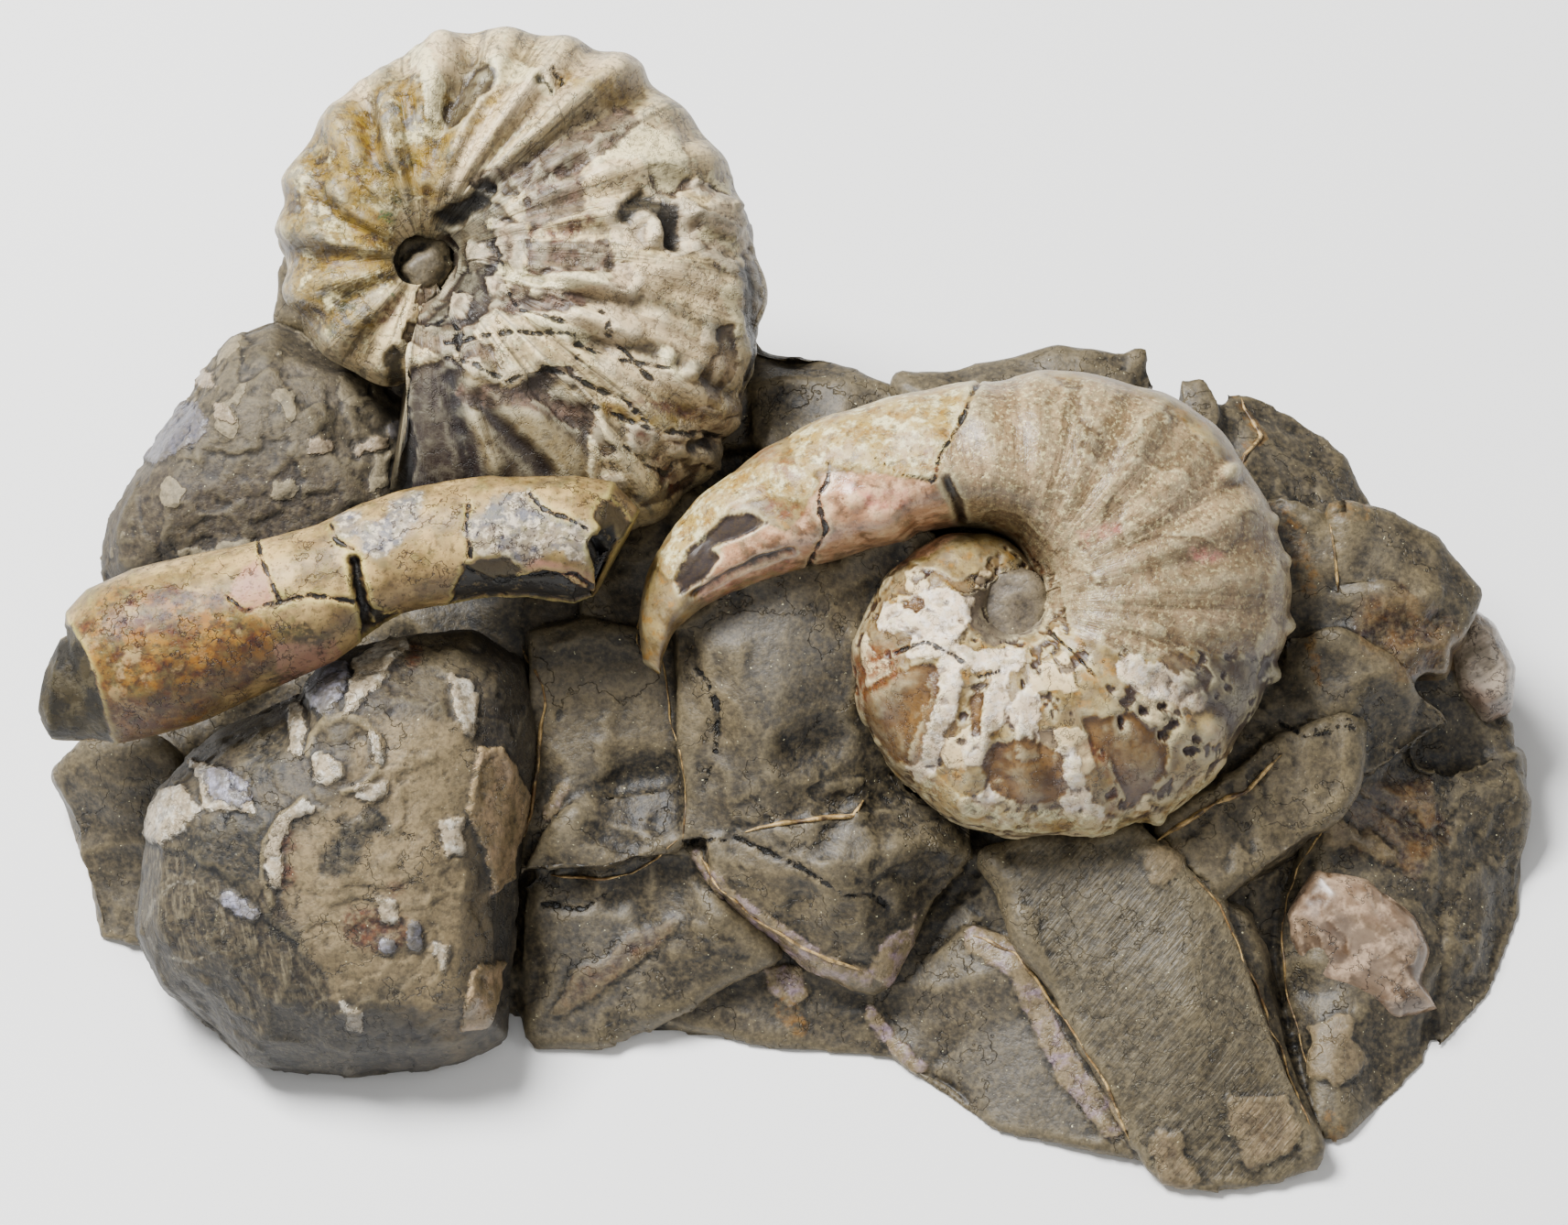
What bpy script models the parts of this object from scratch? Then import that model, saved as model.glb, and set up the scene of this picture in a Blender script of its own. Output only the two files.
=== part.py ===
"""A cluster of ammonites in the mudstone concretion that holds them.

The prepared face slopes up from the front. Everything is modelled in the face frame: u runs to the right,
v up the slope and w out of the face, in millimetres. An empty tilts that frame and stands it on the ground.
"""

import math

import bmesh
import bpy
from mathutils import Matrix, Vector

# Driving dimensions, in millimetres and degrees
MM = 0.001
FACE_SLOPE = 35.0
FACE_HEIGHT = 34.5
FIT_GAP = 0.35
RING_POINTS = 14

MAIN_UMBILICUS = (23.8, 0.4, 0.0)
MAIN_TILT = (-4.0, 7.0)
MAIN_RIBS = 26
MAIN_RIB_HEIGHT = 0.8

UPPER_UMBILICUS = (-39.9, 38.4, -10.0)
UPPER_TILT = (-7.0, 4.0)
UPPER_RIBS = 23
UPPER_RIB_HEIGHT = 1.3

BLOCK_TAPER = 0.86
BLOCK_LEAN = 0.6
BLOCK_LEAN_SPAN = 40.0

# Whorl stations of the main ammonite: angle, umbilical radius, outer radius and half thickness
MAIN_COIL = [
    (88, 2.2, 5.2, 4.2),
    (110, 2.2, 6.4, 4.8),
    (138, 2.4, 8.8, 5.8),
    (170, 2.6, 13.4, 7.4),
    (200, 2.8, 17.4, 8.8),
    (235, 3.0, 20.8, 9.8),
    (270, 3.2, 25.0, 10.8),
    (315, 3.4, 29.0, 11.6),
    (360, 3.6, 31.5, 12.0),
    (400, 4.2, 30.8, 12.0),
    (430, 6.2, 27.2, 12.0),
    (450, 8.2, 24.7, 12.0),
]
# Its body chamber leaves the coil and hooks down: inner edge, outer edge, half thickness and drop
MAIN_HOOK = [
    (-5.0, 9.0, -8.5, 23.5, 11.5, 0.0),
    (-11.0, 7.6, -16.0, 21.7, 10.5, -0.4),
    (-17.0, 5.6, -23.5, 18.5, 9.5, -1.0),
    (-23.5, 4.0, -30.5, 14.0, 8.0, -2.0),
    (-30.5, 1.5, -35.0, 9.5, 6.5, -3.0),
    (-35.0, -1.5, -38.3, 4.0, 5.0, -3.6),
    (-36.7, -4.7, -39.2, -0.7, 3.5, -4.0),
    (-37.0, -7.0, -39.0, -5.5, 2.0, -4.4),
]
# Whorl stations of the upper ammonite, which coils the other way round
UPPER_COIL = [
    (257, 2.0, 13.0, 6.0),
    (240, 2.0, 13.8, 6.5),
    (219, 2.0, 14.4, 7.0),
    (198, 2.0, 14.5, 7.4),
    (180, 2.0, 15.0, 7.8),
    (164, 2.0, 16.0, 8.2),
    (136, 2.2, 17.9, 9.0),
    (112, 2.4, 20.5, 9.8),
    (90, 2.6, 24.2, 10.8),
    (67, 2.8, 27.6, 11.6),
    (45, 3.0, 31.2, 12.4),
    (22, 3.2, 34.6, 13.2),
    (0, 3.4, 37.0, 13.8),
    (-22, 3.6, 38.3, 14.2),
    (-45, 3.8, 38.4, 14.2),
    (-67, 4.2, 35.0, 14.0),
    (-85, 4.6, 30.0, 13.5),
    (-98, 5.0, 25.0, 12.5),
]
# Stations of the straight shell: centre, radius across the face and radius through it
BACULITE_STATIONS = [
    (-80.6, -8.2, 2.5, 3.0, 3.0),
    (-79.4, -8.4, 2.5, 5.4, 5.0),
    (-76.6, -8.2, 2.6, 5.8, 5.6),
    (-75.6, -7.9, 2.7, 6.8, 6.6),
    (-73.9, -6.9, 2.8, 8.0, 7.6),
    (-71.6, -5.5, 3.0, 8.9, 8.2),
    (-67.7, -3.9, 3.4, 9.2, 8.4),
    (-62.6, -2.2, 3.8, 8.7, 8.2),
    (-56.7, -0.2, 4.4, 7.9, 7.6),
    (-51.7, 1.6, 4.9, 7.5, 7.4),
    (-47.5, 3.8, 5.3, 6.6, 6.8),
    (-43.5, 6.0, 5.7, 6.4, 6.6),
    (-38.7, 7.2, 6.0, 6.6, 6.6),
    (-32.0, 8.1, 6.2, 6.6, 6.6),
    (-27.6, 8.1, 6.2, 6.6, 6.6),
    (-23.5, 7.8, 6.0, 7.0, 6.9),
    (-20.6, 7.4, 5.6, 7.1, 6.8),
    (-18.2, 6.2, 5.2, 5.4, 5.2),
]
# Outlines of the domed moulds and shells on the face, walked round in order
WORN_OUTLINE = [
    (-70.7, -26.1), (-69.7, -20.1), (-62.7, -13.1), (-52.7, -9.1), (-49.7, -4.1), (-41.7, -2.1),
    (-33.7, -1.6), (-28.7, -5.1), (-26.9, -13.1), (-28.2, -20.1), (-29.5, -29.1), (-29.5, -39.1),
    (-29.9, -47.1), (-35.7, -49.6), (-47.7, -51.1), (-58.7, -50.1), (-62.7, -46.1), (-68.7, -41.1),
    (-71.2, -35.1),
]
REAR_OUTLINE = [
    (-56.7, 32.4), (-61.7, 30.4), (-65.7, 25.9), (-69.7, 20.9), (-73.7, 14.9), (-76.2, 9.9),
    (-76.7, 5.9), (-75.7, 2.4), (-67.7, -3.1), (-55.7, -3.1), (-43.7, 2.9), (-35.7, 10.9),
    (-37.7, 18.9), (-41.7, 24.9), (-47.7, 28.9),
]
NACRE_OUTLINE = [
    (55.3, -33.1), (58.3, -28.1), (64.3, -29.1), (69.8, -33.1), (71.5, -37.1), (70.3, -40.6),
    (72.5, -43.9), (67.3, -45.3), (56.3, -41.6),
]
EDGE_OUTLINE = [
    (73.8, -2.1), (76.3, 1.4), (79.8, -1.1), (82.1, -6.1), (81.5, -11.1), (78.3, -13.1), (74.3, -9.1),
]
# Section levels of each dome, from the back to the front: scale of the outline and height in w
WORN_LEVELS = [(0.72, -20), (0.94, -13), (1.0, -7), (0.97, -2), (0.87, 3), (0.68, 7), (0.4, 9.2), (0.15, 9.6)]
REAR_LEVELS = [(0.8, -32), (1.0, -24), (0.96, -18), (0.8, -13), (0.5, -10), (0.2, -9.3)]
NACRE_LEVELS = [(0.9, -9.0), (1.0, -7.5), (0.92, -5.6), (0.7, -4.2), (0.3, -3.4)]
EDGE_LEVELS = [(0.85, -28), (1.0, -23), (0.9, -19.5), (0.6, -17.5), (0.25, -17)]

# The rock's mass behind the face, each part as the height of its foot, the foot's outline in world x and y,
# and points under the face. The second part carries the upper ammonite.
ROCK_MASSES = {
    "body": (
        -3.0,
        [(-66, -22), (-50, -30), (-10, -32), (20, -36), (45, -42), (62, -38), (74, -25), (78, -5), (76, 12),
         (66, 28), (46, 38), (18, 42), (-12, 42), (-40, 42), (-60, 36), (-72, 16), (-74, -5)],
        [(-62, -25, -14), (-45, -38, -10), (-20, -34, -10), (10, -35, -12), (40, -40, -6), (62, -35, -14),
         (72, -10, -20), (66, 8, -20), (50, 18, -20), (20, 20, -18), (-5, 20, -20), (-20, 12, -11),
         (15, 5, -8), (45, 0, -10), (-60, 5, -24), (-66, 0, -24), (-52, 24, -26), (46, 20, -30)]),
    "rear_mass": (
        -6.0,
        [(-60, 10), (-58, 34), (-40, 46), (-16, 47), (2, 38), (4, 12)],
        [(-53, 28, -27), (-45, 46, -34), (-20, 46, -34), (-8, 30, -28), (-20, 14, -16), (-50, 14, -26)]),
}
# Behind this y a mass bulges out again at this height, by this factor
MASS_BULGE = (-8.0, 9.0, 1.05)
# Broken blocks of the rock: the rim of each front facet in the face frame, and the block's depth
ROCK_BLOCKS = {
    "centre_block": (30, [
        (-12.2, 0.9, 0), (-5.7, 4.1, 1), (1.3, 5.4, 1.5), (8.8, 4.9, 1), (9.3, -2.1, 1.5),
        (8.8, -12.1, 1), (10.8, -18.1, 0), (8.3, -21.1, 0.5), (-2.7, -23.6, 1), (-11.2, -25.1, -1),
        (-0.7, -9.1, 3.5)]),
    "centre_wedge": (25, [
        (-8.7, -24.6, 0.5), (-2.7, -23.6, 1.5), (8.3, -21.3, 1.5), (14.3, -20.1, -1), (20.5, -24.6, -3),
        (19.3, -29.1, -4), (15.3, -34.1, -4), (9.8, -41.1, -5), (3.3, -38.1, -2), (-2.7, -33.6, 0),
        (-7.2, -29.6, 0), (4.3, -29.1, 3)]),
    "left_panel": (25, [
        (-28.2, -2.1, -5), (-21.7, -1.1, -5), (-12.7, -2.1, -4.5), (-11.2, -9.1, -4), (-11.2, -27.1, -4.5),
        (-20.7, -29.1, -4), (-29.2, -28.1, -6), (-26.7, -13.1, -7)]),
    "left_ridge": (12, [
        (-29.5, -28.6, -3), (-21.7, -20.1, -3.5), (-11.2, -18.1, -3), (-11.2, -25.6, -1.5),
        (-19.7, -28.6, -1)]),
    "foot_panel": (20, [
        (-29.5, -29.6, -7), (-21.7, -29.1, -5), (-11.7, -27.6, -4), (-6.7, -33.1, -3), (-0.7, -37.6, -5),
        (-11.7, -39.1, -6), (-14.2, -44.1, -9), (-20.7, -48.1, -8), (-27.7, -48.1, -8), (-29.2, -41.1, -8)]),
    "foot_recess": (15, [
        (-14.2, -39.1, -10), (0.3, -38.1, -9), (10.3, -42.1, -9), (12.8, -49.1, -7), (4.3, -48.6, -7.6),
        (-2.7, -48.1, -8), (-11.7, -45.1, -9.8)]),
    "lower_block": (25, [
        (20.3, -34.6, -5), (24.8, -36.6, -4), (30.8, -44.1, -2), (36.3, -52.6, 0), (38.8, -59.6, 1),
        (32.3, -58.3, 0), (23.3, -56.8, -1.5), (13.3, -50.3, -5.5), (10.3, -47.6, -8), (14.3, -40.1, -7)]),
    "ground_slab": (30, [
        (22.1, -26.6, -3), (27.3, -24.6, -1), (38.3, -23.6, 0), (44.3, -29.1, 1), (47.3, -32.1, 1),
        (51.3, -41.1, 2), (54.8, -50.1, 3), (57.5, -56.6, 3), (58.3, -60.3, 2.5), (53.3, -62.1, 3),
        (45.3, -62.9, 3.4), (40.3, -61.6, 3), (37.8, -55.1, 3), (32.3, -45.1, 2), (25.3, -34.1, 0),
        (44.3, -43.1, 5)]),
    "slab_flank": (20, [
        (47.3, -31.6, -2), (50.3, -33.1, -3), (53.8, -41.1, -3), (55.3, -49.1, -1), (57.8, -57.1, 0.5),
        (54.3, -49.1, 0)]),
    "right_facet": (25, [
        (41.3, -23.6, -2), (47.3, -19.1, -1), (54.3, -13.1, -3), (64.3, -12.1, -6), (63.3, -18.1, -5),
        (59.3, -23.1, -3), (54.3, -27.1, -1.5), (47.3, -31.1, -1), (44.3, -28.6, -2)]),
    "right_block": (30, [
        (54.3, -2.1, -6), (61.3, -2.1, -5), (68.3, -7.1, -7), (74.3, -12.1, -10), (70.3, -16.1, -9),
        (64.3, -18.1, -8), (55.3, -13.1, -7)]),
    "right_lump": (25, [
        (61.3, 10.9, -10), (66.3, 11.4, -12), (72.3, 7.9, -13), (77.3, 2.4, -14), (74.3, -3.1, -11),
        (70.3, 0.9, -9), (61.3, 2.9, -9)]),
    "right_step": (20, [
        (60.3, 1.9, -8.5), (66.3, 2.9, -8), (73.3, -2.1, -9.5), (73.3, -7.1, -10.5), (68.3, -7.1, -8),
        (61.3, -4.1, -8)]),
    "top_ledge": (30, [
        (12.3, 26.7, -14), (23.3, 28.1, -14), (34.3, 28.7, -13), (39.8, 29.1, -14), (41.8, 25.4, -13),
        (41.3, 19.9, -10), (29.3, 21.9, -8), (14.3, 19.9, -10)]),
    "top_knob": (25, [
        (43.8, 26.4, -14), (46.8, 26.9, -14), (48.8, 22.9, -12), (48.3, 16.9, -9), (43.3, 18.9, -10)]),
    "top_right_shoulder": (25, [
        (48.8, 24.9, -16), (54.3, 23.9, -18), (60.3, 19.9, -19), (64.3, 14.9, -18), (65.8, 10.9, -17),
        (59.3, 6.9, -10), (54.3, 4.9, -7), (51.3, 10.9, -8), (48.8, 16.9, -11)]),
    "shell_seat": (20, [
        (59.3, -22.1, -8), (67.3, -16.1, -11), (73.3, -16.1, -13), (74.3, -23.1, -14), (72.3, -33.1, -14),
        (73.3, -43.1, -12), (70.3, -50.1, -6.5), (64.3, -53.1, -4.5), (61.3, -58.1, -1),
        (58.3, -57.1, -1), (55.3, -43.1, -8), (54.3, -34.1, -9)]),
    "right_edge": (25, [
        (74.3, -17.1, -14), (79.3, -15.3, -17), (82.3, -15.6, -19), (82.8, -23.1, -20),
        (82.3, -33.1, -18), (78.3, -42.1, -12), (72.3, -48.1, -7.5), (71.3, -43.1, -9.5), (73.3, -33.1, -12)]),
    "left_edge": (20, [
        (-81.2, -17.9, -16), (-76.7, -14.3, -14), (-70.7, -13.6, -12), (-66.7, -16.1, -10),
        (-66.7, -36.1, -13), (-70.7, -36.9, -14), (-76.2, -36.4, -15.5), (-77.9, -30.1, -16),
        (-79.7, -23.1, -17)]),
    "saddle": (30, [
        (-2.7, 31.4, -18), (2.3, 31.4, -18), (4.3, 27.4, -16), (10.3, 25.4, -16), (13.3, 22.9, -14),
        (8.3, 18.9, -10), (-0.7, 14.9, -8), (-3.7, 18.9, -12)]),
    "crevice": (25, [
        (-21.7, 7.9, -8), (-9.7, 12.9, -9), (-7.7, 2.9, -6), (-15.7, -3.1, -6), (-21.7, -2.1, -6.5)]),
    "upper_backing": (20, [
        (-53.0, 28.0, -19), (-53.0, 42.0, -19), (-42.0, 54.0, -20), (-26.0, 54.0, -20), (-10.0, 45.0, -19),
        (-2.0, 32.0, -18), (-4.0, 18.0, -14), (-30.0, 14.0, -14)]),
    "upper_chip": (10, [
        (-56.9, 33.0, -23), (-56.7, 38.4, -23), (-54.7, 40.9, -22), (-48.0, 38.0, -19), (-50.0, 31.0, -19)]),
    "main_umbilicus_fill": (22, [
        (27.8, 0.4, 5), (26.6, 3.2, 5), (23.8, 4.4, 5.5), (21.0, 3.2, 5.5), (19.8, 0.4, 5.5),
        (21.0, -2.4, 5.5), (23.8, -3.6, 5), (26.6, -2.4, 5)]),
    "upper_umbilicus_fill": (24, [
        (-36.9, 38.4, -4), (-37.8, 40.5, -4), (-39.9, 41.4, -4), (-42.0, 40.5, -4), (-42.9, 38.4, -4),
        (-42.0, 36.3, -4), (-39.9, 35.4, -4), (-37.8, 36.3, -4)]),
}

# Surface colours and roughness of the materials
MUDSTONE = ("mudstone", (0.105, 0.092, 0.068), 0.85)
CREAM_SHELL = ("cream_shell", (0.46, 0.36, 0.25), 0.5)
GREY_SHELL = ("grey_shell", (0.38, 0.33, 0.26), 0.55)
HONEY_SHELL = ("honey_shell", (0.42, 0.28, 0.13), 0.45)
BROWN_MOULD = ("brown_mould", (0.17, 0.14, 0.1), 0.8)
PINK_NACRE = ("pink_nacre", (0.36, 0.27, 0.2), 0.4)
WHITE_NACRE = ("white_nacre", (0.5, 0.46, 0.4), 0.4)


def clear_scene():
    """Removes every object that the scene starts with."""
    for old in list(bpy.data.objects):
        bpy.data.objects.remove(old)


def face_frame():
    """The empty that carries the whole cluster, tilted so that its XY plane is the prepared face."""
    frame = bpy.data.objects.new("face_frame", None)
    frame.rotation_euler = (math.radians(FACE_SLOPE), 0, 0)
    frame.location = (0, 0, FACE_HEIGHT * MM)
    bpy.context.scene.collection.objects.link(frame)
    bpy.context.view_layer.update()
    return frame


def material(look):
    """A Principled material with a look's colour and roughness."""
    name, colour, roughness = look
    found = bpy.data.materials.get(name)
    if found:
        return found
    made = bpy.data.materials.new(name)
    made.use_nodes = True
    shader = made.node_tree.nodes["Principled BSDF"]
    shader.inputs["Base Color"].default_value = (*colour, 1)
    shader.inputs["Roughness"].default_value = roughness
    shader.inputs["Metallic"].default_value = 0
    made.diffuse_color = (*colour, 1)
    return made


def mesh_object(name, bm, frame, look, helper=False):
    """Turns a bmesh into an object under the face frame. A helper is only drawn as a wire.

    Its faces are cut into triangles, so that a fossil and the cutter for its seat are divided alike.
    """
    bmesh.ops.recalc_face_normals(bm, faces=bm.faces)
    bmesh.ops.triangulate(bm, faces=bm.faces)
    mesh = bpy.data.meshes.new(name)
    bm.to_mesh(mesh)
    bm.free()
    mesh.materials.append(material(look))
    obj = bpy.data.objects.new(name, mesh)
    obj.parent = frame
    bpy.context.scene.collection.objects.link(obj)
    if helper:
        hide_as_helper(obj)
    return obj


def hide_as_helper(obj):
    """Marks a cutter or a building block that isn't a piece of its own."""
    obj.hide_render = True
    obj.display_type = "WIRE"


def coil_station(angle, inner, outer, half_thickness):
    """A whorl station in polar form as inner edge, outer edge, half thickness and drop."""
    c, s = math.cos(math.radians(angle)), math.sin(math.radians(angle))
    return (inner * c, inner * s, outer * c, outer * s, half_thickness, 0.0)


def smooth_between(rows, place):
    """The rows' value at a fractional place, on a Catmull-Rom curve through them."""
    last = len(rows) - 1
    i = min(int(place), last - 1)
    t = place - i
    a, b, c, d = (rows[min(max(k, 0), last)] for k in (i - 1, i, i + 1, i + 2))
    return [
        0.5 * (2 * q + (r - p) * t + (2 * p - 5 * q + 4 * r - s) * t * t + (3 * q - p - 3 * r + s) * t**3)
        for p, q, r, s in zip(a, b, c, d)
    ]


def evenly_spaced(rows, count, fine=24):
    """Rows at equal steps along the outer edge, so that ribs keep one spacing."""
    samples = [smooth_between(rows, i / fine) for i in range((len(rows) - 1) * fine + 1)]
    walked = [0.0]
    for a, b in zip(samples, samples[1:]):
        walked.append(walked[-1] + math.hypot(b[2] - a[2], b[3] - a[3]))
    picked = []
    k = 0
    for step in range(count):
        target = walked[-1] * step / (count - 1)
        while k < len(walked) - 1 and walked[k] < target:
            k += 1
        picked.append(samples[k])
    return picked


def whorl_point(row, turn, rib):
    """A point of a whorl's section. turn is 0 on the outer edge and half a circle on the inner edge."""
    in_u, in_v, out_u, out_v, half_thickness, drop = row
    c, s = math.cos(turn), math.sin(turn)
    across = math.copysign(abs(c) ** 0.85, c)
    out = math.copysign(abs(s) ** 0.8, s) * (1 - 0.18 * across)
    flank = max(0.0, min(1.0, (across + 0.7) / 0.7))
    centre = Vector(((in_u + out_u) / 2, (in_v + out_v) / 2, drop))
    reach = Vector(((out_u - in_u) / 2, (out_v - in_v) / 2, 0))
    size = min(1.0, half_thickness / 9.0)
    raised = rib * flank * size
    direction = reach.normalized()
    return centre + reach * across + direction * raised * across + Vector((0, 0, half_thickness * out + raised * s))


def next_ring(bm, ring, edges):
    """Extrudes a ring of edges and returns the new ring's vertices in the old order, with its edges."""
    grown = bmesh.ops.extrude_edge_only(bm, edges=edges)["geom"]
    fresh = {g for g in grown if isinstance(g, bmesh.types.BMVert)}
    rim = [g for g in grown if isinstance(g, bmesh.types.BMEdge) and all(v in fresh for v in g.verts)]
    twins = [next(e.other_vert(v) for e in v.link_edges if e.other_vert(v) in fresh) for v in ring]
    return twins, rim


def swept_shell(rows, ribs, rib_height):
    """A coiled shell: one ring of edges extruded from station to station, a rib crest at every second one."""
    bm = bmesh.new()
    stations = evenly_spaced(rows, 2 * ribs + 1)
    bmesh.ops.create_circle(bm, cap_ends=False, radius=1, segments=RING_POINTS)
    ring = list(bm.verts)
    edges = list(bm.edges)
    for number, row in enumerate(stations):
        rib = rib_height if number % 2 else 0.0
        tubercle = rib_height * 1.4 if number % 4 == 1 else 0.0
        if number:
            ring, edges = next_ring(bm, ring, edges)
        for k, vert in enumerate(ring):
            turn = 2 * math.pi * k / RING_POINTS
            shoulder = tubercle if k in (2, RING_POINTS - 2) else 0.0
            vert.co = whorl_point(row, turn, rib + shoulder) * MM
    bmesh.ops.holes_fill(bm, edges=[e for e in bm.edges if e.is_boundary], sides=0)
    return bm


def straight_shell(stations):
    """The straight shell: a ring extruded along its slightly bent axis."""
    bm = bmesh.new()
    bmesh.ops.create_circle(bm, cap_ends=False, radius=1, segments=RING_POINTS)
    ring = list(bm.verts)
    edges = list(bm.edges)
    for number, (u, v, w, across, through) in enumerate(stations):
        before = stations[max(number - 1, 0)]
        after = stations[min(number + 1, len(stations) - 1)]
        along = Vector((after[0] - before[0], after[1] - before[1], 0)).normalized()
        side = Vector((-along.y, along.x, 0))
        if number:
            ring, edges = next_ring(bm, ring, edges)
        for k, vert in enumerate(ring):
            turn = 2 * math.pi * k / RING_POINTS
            place = Vector((u, v, w)) + side * across * math.cos(turn)
            vert.co = (place + Vector((0, 0, through * math.sin(turn)))) * MM
    bmesh.ops.holes_fill(bm, edges=[e for e in bm.edges if e.is_boundary], sides=0)
    return bm


def domed_form(outline, levels):
    """A dome: its outline as a face, extruded from level to level and scaled about its middle."""
    bm = bmesh.new()
    middle = Vector((sum(u for u, _ in outline), sum(v for _, v in outline), 0)) / len(outline)
    face = bm.faces.new([bm.verts.new((u, v, 0)) for u, v in outline])
    base = [v.co.copy() for v in face.verts]
    for number, (scale, height) in enumerate(levels):
        if number:
            old = face
            grown = bmesh.ops.extrude_face_region(bm, geom=[face])["geom"]
            face = next(g for g in grown if isinstance(g, bmesh.types.BMFace))
            if number > 1:
                bmesh.ops.delete(bm, geom=[old], context="FACES_ONLY")
        for vert, start in zip(face.verts, base):
            vert.co = middle + (start - middle) * scale + Vector((0, 0, height))
    bmesh.ops.scale(bm, vec=(MM, MM, MM), verts=bm.verts)
    return bm


def rock_block(rim, depth):
    """A broken block: the hull of its front rim and of the same rim, drawn in, behind it.

    The blocks of the upper half lean towards the ground, so that the rock's back falls steeply.
    """
    bm = bmesh.new()
    middle = sum((Vector(p) for p in rim), Vector()) / len(rim)
    lean = min(max(middle.y / BLOCK_LEAN_SPAN, 0), BLOCK_LEAN)
    for point in rim:
        front = Vector(point)
        back = middle + (front - middle) * BLOCK_TAPER
        back.y -= lean * depth
        back.z = front.z - depth
        bm.verts.new(front * MM)
        bm.verts.new(back * MM)
    return hulled(bm)


def rock_mass(frame, foot_height, foot, under_face):
    """A mass of rock behind the face, as the hull of its foot and of points under the face."""
    bm = bmesh.new()
    to_face = frame.matrix_world.inverted()
    from_y, height, swell = MASS_BULGE
    for x, y in foot:
        bm.verts.new(to_face @ (Vector((x, y, foot_height)) * MM))
        if y > from_y:
            bm.verts.new(to_face @ (Vector((x * swell, y * swell, height)) * MM))
    for point in under_face:
        bm.verts.new(Vector(point) * MM)
    return hulled(bm)


def hulled(bm):
    """The convex hull of a bmesh's vertices, with nothing left inside."""
    made = bmesh.ops.convex_hull(bm, input=bm.verts)
    inner = [g for g in made["geom_interior"] + made["geom_unused"] if isinstance(g, bmesh.types.BMVert)]
    bmesh.ops.delete(bm, geom=list(set(inner)), context="VERTS")
    return bm


def place(obj, umbilicus, tilt):
    """Puts an ammonite on its umbilicus, tilted about u and v."""
    obj.location = Vector(umbilicus) * MM
    obj.rotation_euler = (math.radians(tilt[0]), math.radians(tilt[1]), 0)


def pocket_of(fossil):
    """The cutter for a fossil's seat: the fossil itself, grown by the fit gap."""
    cutter = bpy.data.objects.new(fossil.name + "_pocket", fossil.data)
    cutter.parent = fossil.parent
    cutter.location = fossil.location
    cutter.rotation_euler = fossil.rotation_euler
    grow = cutter.modifiers.new("fit gap", "DISPLACE")
    grow.strength = FIT_GAP * MM
    grow.mid_level = 0
    bpy.context.scene.collection.objects.link(cutter)
    hide_as_helper(cutter)
    return cutter


def combine(obj, others, operation):
    """Adds one exact Boolean with several other objects."""
    group = bpy.data.collections.new(f"{obj.name} {operation.lower()}")
    for other in others:
        group.objects.link(other)
    boolean = obj.modifiers.new(operation.lower(), "BOOLEAN")
    boolean.operand_type = "COLLECTION"
    boolean.collection = group
    boolean.operation = operation
    boolean.solver = "EXACT"


def ground_cutter():
    """A plate below the ground, which cuts the rock off flat."""
    bm = bmesh.new()
    bmesh.ops.create_cube(bm, size=1)
    size = Vector((300, 300, 60)) * MM
    bmesh.ops.scale(bm, vec=size, verts=bm.verts)
    bmesh.ops.translate(bm, vec=(0, 0, -size.z / 2), verts=bm.verts)
    return mesh_object("ground_cutter", bm, None, MUDSTONE, helper=True)


def stand_on_origin(frame, nodes):
    """Slides the frame level, so that the middle of the cluster's box is over the origin."""
    bpy.context.view_layer.update()
    graph = bpy.context.evaluated_depsgraph_get()
    points = []
    for node in nodes:
        solid = node.evaluated_get(graph)
        points += [solid.matrix_world @ v.co for v in solid.data.vertices]
    for axis in (0, 1):
        values = [p[axis] for p in points]
        frame.location[axis] -= (min(values) + max(values)) / 2


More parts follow.
